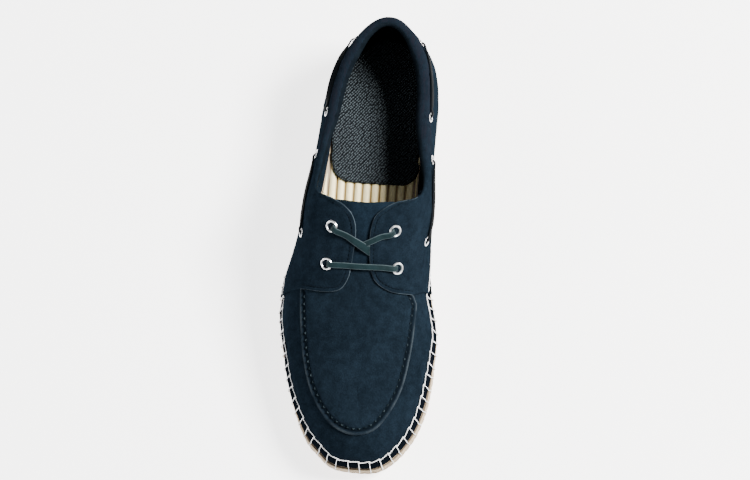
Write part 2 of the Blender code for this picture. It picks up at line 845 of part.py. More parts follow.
def make_upper(group, cutters):
    """One hollow solid: vamp, apron and quarters are layers of the last, hollowed by the last itself."""
    apron = form("apron_layer", cutters, offset_apron)
    boolean(apron, prism("apron_outline", cutters, through(APRON_EDGE)), "INTERSECT")
    front = TONGUE_FRONT - GAP
    zone = prism("vamp_zone", cutters, [(-WIDE, -WIDE), (WIDE, -WIDE), (WIDE, front), (-WIDE, front)])
    quarters = form("quarter_layer", cutters, offset_quarter)
    boolean(quarters, prism("quarter_outline", cutters, quarter_outline()), "INTERSECT")
    start = TOPLINE[0].y
    line = [(y, topline(y)) for y in range(start, round(LENGTH) + 10, 2)]
    over = [(line[-1][0], ABOVE), (start, ABOVE)]
    boolean(quarters, side_prism("collar_cut", cutters, line + over, WIDE), "DIFFERENCE")
    bed = slab("seat_cut", cutters, ((-BED_MARGIN, lambda y: -BED_DEPTH), (-BED_MARGIN, top_of_seat)))
    room = form("tongue_room", cutters, offset_tongue_room)
    boolean(room, prism("tongue_room_outline", cutters, TONGUE_ROOM_LINE), "INTERSECT")
    steps = (
        (apron, "UNION"),
        (zone, "INTERSECT"),
        (quarters, "UNION"),
        (bed, "DIFFERENCE"),
        (form("inside", cutters, offset_inside), "DIFFERENCE"),
        (room, "DIFFERENCE"),
    )
    upper = form("upper", group, offset_vamp)
    for tool, operation in steps:
        boolean(upper, tool, operation, "MANIFOLD")
    skin = tree_of(quarters)
    seats = eyelet_seats(skin)
    boolean(upper, make_punches(cutters, seats), "DIFFERENCE", "MANIFOLD")
    dress(upper, material("navy_suede", (0.012, 0.022, 0.035), 0.9))
    return skin, seats


def make_tongue(group, cutters):
    """Tongue: the layer between the last and the flaps, cut to its outline."""
    tongue = form("tongue", group, offset_tongue)
    boolean(tongue, prism("tongue_outline", cutters, through(TONGUE_EDGE_LINE, 3)), "INTERSECT")
    boolean(tongue, form("tongue_inside", cutters, offset_tongue_inside), "DIFFERENCE")
    dress(tongue, material("tongue_suede", (0.016, 0.032, 0.05), 0.9))
    return tongue


def main():
    """Build the shoe."""
    for thing in list(bpy.data.objects):
        bpy.data.objects.remove(thing)
    shoe = collection("espadrille")
    cutters = collection("cutters")
    make_outsole(shoe)
    make_midsole(shoe)
    make_insole(shoe, cutters)
    skin, seats = make_upper(shoe, cutters)
    make_tongue(shoe, cutters)
    make_eyelets(shoe, seats)
    make_front_laces(shoe, cutters, skin, seats)
    make_side_laces(shoe, skin, seats)


main()
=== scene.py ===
"""Looks of a right-foot lace-up espadrille: suede boat-shoe upper, rope sole, blanket stitch and laces.

Sizes are the shoe's own millimetres until a mesh is made. x runs from the lateral side (-) to the medial
side (+), y from the tip of the toe to the back of the heel, and z up from the ground. s is the angle that
stands for a place round the sole: 0 at the toe and pi at the heel, lateral side first. v runs up the last
from its foot to its crown.
"""

from __future__ import annotations

import logging
import math
from dataclasses import dataclass, field
from enum import Enum
from typing import Callable, Sequence

import bpy
import numpy as np
from mathutils import Matrix, Vector
from mathutils.bvhtree import BVHTree
from mathutils.kdtree import KDTree

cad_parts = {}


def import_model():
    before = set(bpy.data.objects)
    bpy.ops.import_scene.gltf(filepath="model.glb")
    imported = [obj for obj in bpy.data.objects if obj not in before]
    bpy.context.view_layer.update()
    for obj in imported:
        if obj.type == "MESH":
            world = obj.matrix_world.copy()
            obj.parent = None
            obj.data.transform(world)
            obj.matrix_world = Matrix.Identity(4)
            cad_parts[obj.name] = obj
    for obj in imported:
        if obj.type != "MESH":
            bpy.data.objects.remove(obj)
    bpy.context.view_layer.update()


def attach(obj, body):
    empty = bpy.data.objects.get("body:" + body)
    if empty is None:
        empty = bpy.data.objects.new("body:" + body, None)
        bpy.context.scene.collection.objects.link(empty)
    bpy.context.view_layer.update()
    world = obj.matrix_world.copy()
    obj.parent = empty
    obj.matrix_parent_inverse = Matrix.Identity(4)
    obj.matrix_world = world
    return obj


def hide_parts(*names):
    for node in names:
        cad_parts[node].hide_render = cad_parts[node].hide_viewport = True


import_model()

Array = np.ndarray
LOG = logging.getLogger("espadrille")
MM = 0.001
TAU = 2.0 * math.pi
# Room between the sole's pieces, the tread's thickness, and a distance that is far from any edge.
GAP = 0.3
TREAD = 3.6
FAR = 20.0
# Thickness of the flaps' and the apron's leather, and of the vamp's.
THIN = 1.7
STOUT = 1.9
# Bars of the blanket stitch round the sole.
BARS = 88
# Points that a smooth line gets for each span between the points it runs through.
SPAN = 12


# ---------------------------------------------------------------- number helpers
def ease(value: Array | float, low: float, high: float) -> Array:
    """Smooth step from 0 at low to 1 at high."""
    share = np.clip((np.asarray(value, float) - low) / (high - low), 0.0, 1.0)
    return share * share * (3.0 - 2.0 * share)


def bell(value: Array | float, centre: float, width: float) -> Array:
    """Soft bump of height 1 and the given half width round a centre."""
    return np.exp(-(((np.asarray(value, float) - centre) / width) ** 2))


def curve_through(knots: Sequence[float], values: Sequence[float], at: Array | float) -> Array:
    """Smooth curve through rows of a table that never overshoots them.

    Args:
        knots: places of the rows, rising.
        values: value of each row.
        at: places to read.

    Returns:
        The value at each place.
    """
    x, f, here = np.asarray(knots, float), np.asarray(values, float), np.asarray(at, float)
    slopes = np.diff(f) / np.diff(x)
    before, after = slopes[:-1], slopes[1:]
    rising = before * after > 0.0
    inner = np.where(rising, 2.0 * before * after / np.where(rising, before + after, 1.0), 0.0)
    tangents = np.concatenate(([slopes[0]], inner, [slopes[-1]]))
    k = np.clip(np.searchsorted(x, here, "right") - 1, 0, len(x) - 2)
    width = x[k + 1] - x[k]
    t = np.clip((here - x[k]) / width, 0.0, 1.0)
    rest = 1.0 - t
    start = f[k] * (1 + 2 * t) * rest**2 + tangents[k] * width * t * rest**2
    return start + f[k + 1] * t * t * (3 - 2 * t) - tangents[k + 1] * width * t * t * rest


def through(points: Sequence[Sequence[float]], per_span: int = SPAN) -> Array:
    """Smooth line through points of any dimension."""
    spots = np.asarray(points, float)
    last = len(spots) - 1
    line = []
    for k in range(last):
        before, here, there, after = (spots[min(max(k + step, 0), last)] for step in (-1, 0, 1, 2))
        t = (np.arange(per_span) / per_span)[:, None]
        leave, arrive = (there - before) * 0.5, (after - here) * 0.5
        rest = 1.0 - t
        line.append(here * ((1 + 2 * t) * rest**2) + there * (t * t * (3 - 2 * t))
                    + leave * (t * rest**2) - arrive * (t * t * rest))
    line.append(spots[-1:])
    return np.concatenate(line)


def lengths(points: Array) -> Array:
    """Distance along a line at each of its points."""
    return np.concatenate(([0.0], np.cumsum(np.linalg.norm(np.diff(points, axis=0), axis=1))))


def resample(points: Array, shares: Array, measure: Array | None = None) -> Array:
    """Points of a line at shares of its length, or of another line's length that goes with it."""
    along = lengths(points if measure is None else measure)
    spots = np.asarray(shares) * along[-1]
    return np.stack([np.interp(spots, along, points[:, c]) for c in range(points.shape[1])], axis=1)


def evenly(points: Array, step: float) -> Array:
    """Line resampled at about an even step."""
    count = max(2, int(round(lengths(points)[-1] / step)) + 1)
    return resample(points, np.linspace(0.0, 1.0, count))


def unit(vectors: Array) -> Array:
    """Vectors scaled to length 1."""
    size = np.linalg.norm(vectors, axis=-1, keepdims=True)
    return vectors / np.where(size > 1e-9, size, 1.0)


def directions(points: Array) -> Array:
    """Unit direction of a line at each of its points."""
    return unit(np.gradient(points, axis=0))


def weights(half: int, width: float) -> Array:
    """Weights of a soft average that takes in half steps to each side."""
    shares = bell(np.arange(-half, half + 1), 0.0, width)
    return shares / shares.sum()


def raised(plan: Array, z: Array) -> Array:
    """Plan points with their heights."""
    return np.concatenate((plan, z[..., None]), axis=-1)


def fillet(away: Array, radius: Array | float) -> Array:
    """Drop of a rounded edge: 1 at the edge, 0 from the radius on."""
    near = 1.0 - np.clip(away / radius, 0.0, 1.0)
    return 1.0 - np.sqrt(1.0 - near**2)


def patch(low: Array, high: Array, left: Array, right: Array, a: Array, w: Array) -> Array:
    """Net blended between four boundaries, at shares a along it and w up it."""
    a, w = a[None, :, None], w[:, None, None]
    straight = (1 - w) * low[None] + w * high[None] + (1 - a) * left[:, None] + a * right[:, None]
    corners = (1 - a) * (1 - w) * low[0] + a * (1 - w) * low[-1] + (1 - a) * w * high[0] + a * w * high[-1]
    return straight - corners


def turned(loops: Array, angle: Array) -> Array:
    """Section loops turned round their middles."""
    x, y = loops[..., 0], loops[..., 1]
    return np.stack((x * np.cos(angle) - y * np.sin(angle), x * np.sin(angle) + y * np.cos(angle)), axis=-1)


def carried(path: Array, across: Array, up: Array, loops: Array) -> Array:
    """Section loops closed and set on a path's points, along the directions across and up."""
    loops = np.concatenate((loops, loops[:, :1]), axis=1)
    return path[:, None] + across[:, None] * loops[..., :1] + up[:, None] * loops[..., 1:]


# ---------------------------------------------------------------- the last
# y, then x of the sole's edge on the lateral and on the medial side.
SOLE = np.array((
    (0, -0.4, -0.4), (1, -13.6, 10.2), (4, -20.9, 16.4), (9, -26.4, 22.3), (19, -35.5, 30.2),
    (34, -43.0, 37.3), (50, -48.7, 41.3), (70, -53.4, 43.6), (86, -56.5, 44.4), (102, -58.3, 42.4),
    (118, -56.9, 38.9), (138, -51.5, 35.0), (160, -45.3, 31.4), (185, -40.0, 29.8), (212, -36.8, 31.4),
    (240, -35.0, 33.6), (260, -31.0, 32.0), (275, -22.8, 25.8), (286, -11.6, 15.4), (290, -4.2, 8.2),
    (291, 2.0, 2.0),
))
# y and height of the foot's bed.
SEAT = np.array(((0, 20.0), (60, 20.8), (105, 21.6), (180, 24.6), (240, 27.0), (291, 27.6)))
# y, then x and height of the last's crown.
CROWN = np.array((
    (29, -1.5, 47.5), (50, -3.6, 50.5), (75, -5.2, 55.5), (100, -6.2, 63.5), (125, -6.2, 74.5),
    (150, -5.6, 86.5), (172, -4.6, 94.0), (200, -2.4, 95.0), (232, -0.4, 94.0), (256, 2.2, 101.0),
))
# y, then power, swell and peak of the wall's curve, each on the lateral and on the medial side.
BODY = np.array((
    (0, 2.0, 2.0, 0.0, 0.0, 0.22, 0.22), (60, 2.1, 2.1, 0.0, 0.0, 0.22, 0.22),
    (86, 2.2, 2.2, 0.0, 0.0, 0.22, 0.22), (112, 2.25, 2.25, 0.6, 0.0, 0.22, 0.22),
    (138, 2.45, 2.5, 1.7, 4.0, 0.22, 0.22), (168, 3.2, 3.9, 4.2, 8.2, 0.35, 0.45),
    (184, 3.0, 3.9, 5.0, 8.3, 0.33, 0.44), (205, 2.4, 3.0, 5.6, 7.0, 0.30, 0.31),
    (230, 2.2, 2.2, 5.0, 4.9, 0.19, 0.20), (262, 2.4, 2.5, 3.0, 3.6, 0.20, 0.22),
    (291, 2.85, 2.85, 1.4, 1.4, 0.22, 0.22),
))
# y and height of the collar's edge.
TOPLINE = np.array((
    (152, 118.0), (158, 97.0), (162, 90.0), (166, 84.0), (170, 79.8), (175, 76.3), (180, 74.0), (190, 71.0),
    (205, 68.0), (222, 66.5), (240, 68.5), (258, 73.5), (274, 79.0), (286, 81.5), (300, 82.0),
))
LENGTH = 291.0
CENTRE = (SOLE[:, 1].min() + SOLE[:, 2].max()) / 2.0
CROWN_START, CROWN_RUN = CROWN[0, 0], CROWN[-1, 0] - CROWN[0, 0]
# x that parts the lateral from the medial side along the forefoot, and y at which the apron ends.
SPINE = -5.0
APRON_END = 121.0
# Lines in plan, as (x, y) rows.
APRON_EDGE = (
    (-43.6, 124.0), (-44.2, 108.7), (-43.4, 90.0), (-39.4, 62.0), (-31.5, 39.8), (-19.0, 23.6), (-3.7, 17.4),
    (11.0, 23.4), (23.6, 45.0), (29.3, 71.8), (31.3, 99.0), (29.9, 106.2), (26.8, 112.6), (27.6, 124.0),
)
SEAM_LATERAL = ((-43.8, 107.6), (-90.0, 114.0))
SEAM_MEDIAL = ((28.3, 107.6), (42.0, 119.5))
FLAP_LATERAL = (
    (-43.8, 107.6), (-33.0, 105.2), (-24.1, 104.6), (-17.2, 106.6), (-12.9, 113.4), (-11.1, 123.0),
    (-9.6, 140.0), (-12.2, 149.8), (-18.7, 156.4), (-26.7, 161.6), (-32.2, 168.6), (-33.3, 171.4),
)
FLAP_MEDIAL = (
    (28.3, 107.6), (15.7, 106.6), (5.4, 110.8), (0.6, 119.0), (-0.7, 131.0), (-0.6, 141.0), (2.0, 150.0),
    (8.6, 156.0), (18.9, 163.0), (26.0, 167.4), (27.8, 171.0),
)
# Spans along the flaps' lines to the middle of their front corners, lateral and medial.
CORNER_SPANS = (3.5, 2.35)
SOCK_LINE = (
    (-32.0, 207.0), (-30.2, 198.0), (-27.0, 192.6), (-21.0, 189.4), (-12.0, 188.8), (14.0, 188.8),
    (20.5, 190.6), (24.6, 195.4), (26.4, 202.0),
)
TONGUE_EDGE = (
    (-35.5, 119.6), (-34.5, 136.0), (-31.0, 156.5), (-27.0, 160.1), (-5.5, 157.9), (15.5, 160.1),
    (19.5, 156.5), (22.5, 136.0), (23.0, 119.6),
)


def world(points: Array) -> Array:
    """Shoe millimetres to world metres."""
    return (np.asarray(points, float) - np.array((CENTRE, LENGTH / 2.0, 0.0))) * MM


def from_toe(s: Array | float) -> Array:
    """Distance from the toe at angles s round the sole."""
    return LENGTH * (1.0 - np.cos(s)) / 2.0


def lateral_angle(y: Array | float) -> Array:
    """Angle of the lateral place at y; TAU less it is the medial one."""
    return np.arccos(np.clip(1.0 - 2.0 * np.asarray(y, float) / LENGTH, -1.0, 1.0))


def seat_height(y: Array | float) -> Array:
    """Height of the foot's bed at y."""
    return curve_through(SEAT[:, 0], SEAT[:, 1], y)


def ground_line(y: Array | float) -> Array:
    """Underside of the shoe: toe spring in front, a slight arch at the waist."""
    spring = 6.5 * np.clip(1.0 - np.asarray(y, float) / 62.0, 0.0, 1.0) ** 2
    return spring + 1.4 * ease(y, 128.0, 175.0) * (1.0 - ease(y, 175.0, 222.0))


def topline(y: Array | float) -> Array:
    """Height of the collar's edge at y."""
    return curve_through(TOPLINE[:, 0], TOPLINE[:, 1], y)


def covered(y: Array, medial: Array) -> Array:
    """Share of the rope's upper edge that the leather covers, by place and side."""
    return np.where(medial, ease(y, 52.0, 82.0), ease(y, 14.0, 44.0))


def outline(s: Array, inset: Array | float = 0.0) -> Array:
    """Points of the sole's outline at angles s, moved inwards by inset."""
    turns = lateral_angle(SOLE[:, 0])

    def raw(angle: Array) -> Array:
        """Points of the outline itself, without the inset."""
        around = np.mod(angle, TAU)
        lateral = curve_through(turns, SOLE[:, 1], around)
        medial = curve_through(turns, SOLE[:, 2], TAU - around)
        return np.stack((np.where(around <= math.pi, lateral, medial), from_toe(angle)), axis=-1)

    s = np.asarray(s, float)
    step = TAU / 84
    along = raw(s + step) - raw(s - step)
    inward = unit(np.stack((along[..., 1], -along[..., 0]), axis=-1))
    return raw(s) + inward * np.asarray(inset)[..., None]


class Layer(Enum):
    """Faces of the shoe's layers, each at its own distance from the bare last."""

    VAMP = "vamp"
    APRON = "apron"
    QUARTER = "quarter"
    TONGUE = "tongue"

    def offset(self, y: Array, z: Array, turn: Array) -> Array:
        """Distance of this face from the last.

        Args:
            y: distance from the toe.
            z: height.
            turn: degrees up the last's profile.

        Returns:
            The distance at each place.
        """
        tuck = 1.3 * np.clip(1.0 - (z - seat_height(y)) / 10.0, 0.0, 1.0) ** 2
        if self is Layer.VAMP:
            return 2.0 - tuck
        if self is Layer.APRON:
            return np.full_like(y, 3.6)
        if self is Layer.QUARTER:
            return 3.4 + 1.9 * ease(turn, 30, 52) * (1.0 - ease(y, 168, 188)) - 0.8 * tuck
        return 1.4 + 1.6 * ease(turn, 35, 55)


@dataclass
class Last:
    """Smooth surface of the last, held as a fine net of points round the sole (s) and up the side (v).

    Attributes:
        columns: points round the sole.
        rows: steps up the side.
        points: places, in shoe millimetres.
        normals: outward directions.
        turns: degrees up the profile, which the layers' distances depend on.
    """

    columns: int = 720
    rows: int = 150
    points: Array = field(init=False)
    normals: Array = field(init=False)
    turns: Array = field(init=False)

    def __post_init__(self) -> None:
        """Builds the net."""
        s = np.arange(self.columns) * TAU / self.columns
        share = np.linspace(0.0, 1.0, 241)
        turns = 90.0 * (1.0 - (1.0 - share) ** 1.6)
        raw = self.profile(s, turns)
        shares = np.linspace(0.0, 1.0, self.rows + 1)
        self.points = np.zeros((self.columns, self.rows + 1, 3))
        self.turns = np.zeros((self.columns, self.rows + 1))
        for k in range(self.columns):
            both = np.concatenate((raw[k], turns[:, None]), axis=1)
            line = resample(both, shares, raw[k])
            self.points[k], self.turns[k] = line[:, :3], line[:, 3]
        self.soften_ridge()
        self.normals = self.find_normals()

    def profile(self, s: Array, turns: Array) -> Array:
        """Points of the last at every pair of angle s and degrees up the profile."""
        y = from_toe(s)
        lateral = s <= math.pi

        def by_side(column: int) -> Array:
            """Value at every place, from the table's column for its side: this one or the next."""
            return np.where(lateral, *(curve_through(BODY[:, 0], BODY[:, column + k], y) for k in (0, 1)))

        power, swell, peak = by_side(1), by_side(3), by_side(5)
        crown_y = CROWN_START + CROWN_RUN * y / LENGTH
        crown = np.stack((curve_through(CROWN[:, 0], CROWN[:, 1], crown_y), crown_y), axis=-1)
        top = curve_through(CROWN[:, 0], CROWN[:, 2], crown_y)
        foot = outline(s, 3.4 + 1.4 * ease(y, 88.0, 112.0))
        outward = outline(s, -1.0) - outline(s)
        angle = np.radians(turns)[None, :]
        reach = np.clip(np.cos(angle), 0.0, 1.0) ** (2.0 / power[:, None])
        rise = np.sin(angle) ** (2.0 / power[:, None])
        lift = rise / peak[:, None]
        hump = lift * np.exp(1.0 - lift) * (1.0 - rise**8)
        seat = seat_height(y)
        climb = (top - seat)[:, None] * rise
        flare = 1.5 * covered(y, ~lateral) * (1.0 - ease(y, 124.0, 148.0))
        flare += 0.9 * ease(y, 88.0, 106.0) * (1.0 - ease(y, 122.0, 142.0))
        skirt = (1.3 + flare[:, None]) * (1.0 - np.clip(climb / 10.0, 0.0, 1.0)) ** 2
        out = swell[:, None] * hump + skirt
        plan = crown[:, None] + (foot - crown)[:, None] * reach[..., None] + outward[:, None] * out[..., None]
        return raised(plan, seat[:, None] + climb)

    def across(self, net: Array) -> Array:
        """Net carried over the crown and down the other side of the shoe."""
        other = net[(-np.arange(self.columns)) % self.columns]
        return np.concatenate((net, other[:, -2::-1]), axis=1)

    def soften_ridge(self) -> None:
        """Rounds the crease where the two sides meet along the crown."""
        reach = 9
        height = self.across(self.points[..., 2])
        padded = np.pad(height, ((0, 0), (reach, reach)), mode="edge")
        soft = sum(weight * padded[:, k:k + height.shape[1]] for k, weight in enumerate(weights(reach, 5.0)))
        share = ease(np.linspace(0.0, 1.0, self.rows + 1), 0.62, 0.85)[None, :]
        self.points[..., 2] += (soft[:, :self.rows + 1] - self.points[..., 2]) * share

    def find_normals(self) -> Array:
        """Outward direction at every point of the net."""
        around = np.roll(self.points, -1, axis=0) - np.roll(self.points, 1, axis=0)
        full = self.across(self.points)
        up = np.gradient(full, axis=1)[:, :self.rows + 1]
        normals = np.cross(around, up)
        size = np.linalg.norm(normals, axis=-1)
        weak = size < 1e-5
        normals = unit(normals)
        if normals[self.columns // 4, self.rows // 3, 0] > 0:
            normals = -normals
        normals[weak] = (0.0, 0.0, 1.0)
        return normals

    def read(self, net: Array, s: Array, v: Array) -> Array:
        """Value of a net between its points."""
        a = np.mod(np.asarray(s, float) / TAU * self.columns, self.columns)
        b = np.clip(np.asarray(v, float), 0.0, 1.0) * self.rows
        i = np.floor(a).astype(int) % self.columns
        j = np.minimum(np.floor(b).astype(int), self.rows - 1)
        f, g = a - np.floor(a), b - j
        if net.ndim == 3:
            f, g = f[..., None], g[..., None]
        k = (i + 1) % self.columns
        low = net[i, j] * (1 - f) + net[k, j] * f
        high = net[i, j + 1] * (1 - f) + net[k, j + 1] * f
        return low * (1 - g) + high * g

    def at(self, s: Array, v: Array, layer: Layer) -> tuple[Array, Array]:
        """Points and directions of a layer's face.

        Args:
            s: angles round the sole.
            v: shares up the side.
            layer: the face.

        Returns:
            Points and outward directions.
        """
        point, normal = self.read(self.points, s, v), unit(self.read(self.normals, s, v))
        reach = layer.offset(point[..., 1], point[..., 2], self.read(self.turns, s, v))
        return point + normal * reach[..., None], normal

    def line(self, places: Array, layer: Layer) -> Array:
        """Points of a layer's face along a line of places (s, v)."""
        return self.at(places[:, 0], places[:, 1], layer)[0]


@dataclass
class Skin:
    """A layer's face as a search tree that gives back places on the last.

    Attributes:
        last: the last.
        layer: the face.
        coarse: steps of the last's net to a step of the tree's.
        far: how far from the shoe's middle rays start.
        tree: the search tree.
        corners: points of the tree's net.
        triangles: its triangles, as rows of three points' numbers.
        params: places of its points on the last.
    """

    last: Last
    layer: Layer
    coarse: int = 2
    far: float = 300.0
    tree: BVHTree = field(init=False)
    corners: Array = field(init=False)
    triangles: Array = field(init=False)
    params: Array = field(init=False)

    def __post_init__(self) -> None:
        """Builds the tree."""
        s = np.arange(0, self.last.columns + 1, self.coarse) * TAU / self.last.columns
        v = np.arange(0, self.last.rows + 1, self.coarse) / self.last.rows
        grid_s, grid_v = np.meshgrid(s, v, indexing="ij")
        self.corners = self.last.at(grid_s, grid_v, self.layer)[0].reshape(-1, 3)
        self.params = np.stack((grid_s.ravel(), grid_v.ravel()), axis=1)
        wide = len(v)
        first = (np.arange(len(s) - 1)[:, None] * wide + np.arange(wide - 1)[None, :]).ravel()
        lower = np.stack((first, first + 1, first + wide), axis=1)
        upper = np.stack((first + 1, first + wide + 1, first + wide), axis=1)
        self.triangles = np.concatenate((lower, upper))
        self.tree = BVHTree.FromPolygons(self.corners.tolist(), self.triangles.tolist())

    def place_on_last(self, spot: Vector, index: int) -> tuple[float, float]:
        """Angle and share of a point that lies in one of the tree's triangles."""
        one, two, three = (self.corners[k] for k in self.triangles[index])
        edge_a, edge_b, here = two - one, three - one, np.array(spot) - one
        aa, ab, bb = edge_a @ edge_a, edge_a @ edge_b, edge_b @ edge_b
        ha, hb = here @ edge_a, here @ edge_b
        bottom = aa * bb - ab * ab or 1e-12
        share_a, share_b = (bb * ha - ab * hb) / bottom, (aa * hb - ab * ha) / bottom
        trio = self.params[self.triangles[index]]
        found = trio[0] + (trio[1] - trio[0]) * share_a + (trio[2] - trio[0]) * share_b
        return float(found[0]), float(found[1])

    def below(self, x: float, y: float) -> tuple[Array, Array, tuple[float, float]]:
        """Point, direction and place on the last under a plan position."""
        hit, _, index, _ = self.tree.ray_cast(Vector((x, y, self.far)), Vector((0, 0, -1)))
        place = self.place_on_last(hit, index)
        normal = unit(self.last.read(self.last.normals, *map(np.array, place)))
        return np.array(hit), normal, place

    def beside(self, side: float, y: float, z: float) -> tuple[Array, Array]:
        """Point and direction seen from one side, -1 for lateral and 1 for medial."""
        start = Vector((CENTRE + self.far * side, y, z))
        hit, _, index, _ = self.tree.ray_cast(start, Vector((-side, 0, 0)))
        place = self.place_on_last(hit, index)
        return np.array(hit), unit(self.last.read(self.last.normals, *map(np.array, place)))

    def plan_line(self, points: Sequence[Sequence[float]], wrap: float = 0.0) -> Array:
        """Places on the last under the points of a plan line; angles past the heel lose wrap."""
        found = np.array([self.below(*point)[2] for point in points])
        found[:, 0] = np.where(found[:, 0] > math.pi, found[:, 0] - wrap, found[:, 0])
        return found


# ---------------------------------------------------------------- materials
Value = "Socket | float"


class Socket:
    """A node's output that takes part in sums as a number does."""

    def __init__(self, graph: Graph, socket: bpy.types.NodeSocket) -> None:
        """Keeps the graph and the output."""
        self.graph, self.socket = graph, socket

    def maths(self, operation: str, *values: Value) -> Socket:
        """Math node on values."""
        return self.graph.node("ShaderNodeMath", dict(enumerate(values)), operation=operation)

    def __add__(self, other: Value) -> Socket:
        """Sum."""
        return self.maths("ADD", self, other)

    __radd__ = __add__

    def __sub__(self, other: Value) -> Socket:
        """Difference."""
        return self.maths("SUBTRACT", self, other)

    def __rsub__(self, other: Value) -> Socket:
        """Difference from a number."""
        return self.maths("SUBTRACT", other, self)

    def __mul__(self, other: Value) -> Socket:
        """Product."""
        return self.maths("MULTIPLY", self, other)

    __rmul__ = __mul__

    def __pow__(self, other: Value) -> Socket:
        """Power."""
        return self.maths("POWER", self, other)

    def step(self, low: float, high: float) -> Socket:
        """Smooth step of this value from 0 at low to 1 at high."""
        values = {0: self, 1: low, 2: high}
        return self.graph.node("ShaderNodeMapRange", values, interpolation_type="SMOOTHSTEP")


class Graph:
    """Node tree of one material, with a Principled shader at its end."""

    def __init__(self, name: str) -> None:
        """Starts an empty material."""
        self.material = bpy.data.materials.new(name)
        self.material.use_nodes = True
        self.tree = self.material.node_tree
        self.shader = self.tree.nodes["Principled BSDF"]
        self.place = self.node("ShaderNodeTexCoord", output="Object")

    def node(self, kind: str, values: dict | None = None, output: int | str = 0,
             **settings: object) -> Socket:
        """Adds a node.

        Args:
            kind: type of the node.
            values: numbers, colours or links of its inputs, by name or index.
            output: the output that is wanted.
            settings: the node's own settings, set first.

        Returns:
            The wanted output.
        """
        made = self.tree.nodes.new(kind)
        for name, setting in settings.items():
            setattr(made, name, setting)
        for name, value in (values or {}).items():
            if isinstance(value, Socket):
                self.tree.links.new(value.socket, made.inputs[name])
            else:
                made.inputs[name].default_value = value
        return Socket(self, made.outputs[output])

    def noise(self, size: float, detail: float = 2.0, roughness: float = 0.5, at: Socket | None = None,
              distortion: float = 0.0) -> Socket:
        """Noise whose features are about size millimetres across."""
        values = {"Vector": at or self.place, "Scale": 1.0 / (size * MM), "Detail": detail,
                  "Roughness": roughness, "Distortion": distortion}
        return self.node("ShaderNodeTexNoise", values)

    def cells(self, size: float) -> Socket:
        """Distance to the nearest of cells that are size millimetres across."""
        values = {"Vector": self.place, "Scale": 1.0 / (size * MM)}
        return self.node("ShaderNodeTexVoronoi", values, output="Distance", feature="F1")

    def beads(self, size: float, at: Socket, randomness: float, slim: float) -> Socket:
        """Distance, in sizes, from the middle of the nearest upright cell, shrunk along x by slim."""
        values = {"Vector": at, "Scale": 1.0 / (size * MM), "Randomness": randomness}
        middle = self.node("ShaderNodeTexVoronoi", values, "Position", feature="F1", voronoi_dimensions="2D")
        away = self.node("ShaderNodeVectorMath", {0: at, 1: middle}, operation="SUBTRACT")
        away = self.stretched((slim / (size * MM), 1.0 / (size * MM), 0.0), of=away)
        return self.node("ShaderNodeVectorMath", {0: away}, output="Value", operation="LENGTH")

    def stretched(self, scale: Sequence[float], turn: Sequence[float] = (0.0, 0.0, 0.0),
                  of: Socket | None = None) -> Socket:
        """Coordinates turned, in radians, and scaled."""
        values = {"Vector": of or self.place, "Rotation": turn, "Scale": scale}
        return self.node("ShaderNodeMapping", values)

    def own(self, name: str) -> Socket:
        """A piece's own attribute as a number."""
        return self.node("ShaderNodeAttribute", output="Fac", attribute_name=name)

    def uv(self) -> Socket:
        """A piece's own UV map, in metres."""
        return self.node("ShaderNodeUVMap", uv_map="UVMap")

    def mix(self, share: Value, low: Socket | Sequence[float], high: Socket | Sequence[float]) -> Socket:
        """Colour part of the way from one to another."""
        def full(colour: Socket | Sequence[float]) -> Socket | tuple:
            """Link as it is, or colour with its alpha."""
            return colour if isinstance(colour, Socket) else (*colour, 1.0)

        values = {"Factor": share, 6: full(low), 7: full(high)}
        return self.node("ShaderNodeMix", values, output=2, data_type="RGBA")

    def bump(self, height: Socket, depth: float, below: Socket | None = None) -> Socket:
        """Direction bumped by a height whose whole range is depth millimetres."""
        values: dict = {"Height": height, "Distance": depth * MM}
        if below:
            values["Normal"] = below
        return self.node("ShaderNodeBump", values)

    def finish(self, links: dict[str, Socket], **fixed: float | Sequence[float]) -> bpy.types.Material:
        """Links what varies to the shader and sets what doesn't on its own sockets.

        Args:
            links: varying inputs of the shader, by name.
            fixed: the other inputs, with _ for a space.

        Returns:
            The material.
        """
        for name, value in links.items():
            self.tree.links.new(value.socket, self.shader.inputs[name])
        for name, value in fixed.items():
            self.shader.inputs[name.replace("_", " ").title().replace("Ior", "IOR")].default_value = value
        return self.material


Colour = tuple[float, float, float]
COLLAR_RUB: Colour = (0.0068, 0.0078, 0.0118)
# Near-black navy of the painted shade on the wall below the blanket stitch.
PAINTED_SHADE_BELOW_STITCH: Colour = (0.0010, 0.0014, 0.0024)


@dataclass(frozen=True)
class Finish:
    """What every material has.

    Attributes:
        name: the material's name.
        deep: its darker colour, where a nap lies down; in the rope's hollows it is painted shade.
        bright: its lighter colour; on the sock's pebble crests it is a painted highlight.
    """

    name: str
    deep: Colour
    bright: Colour


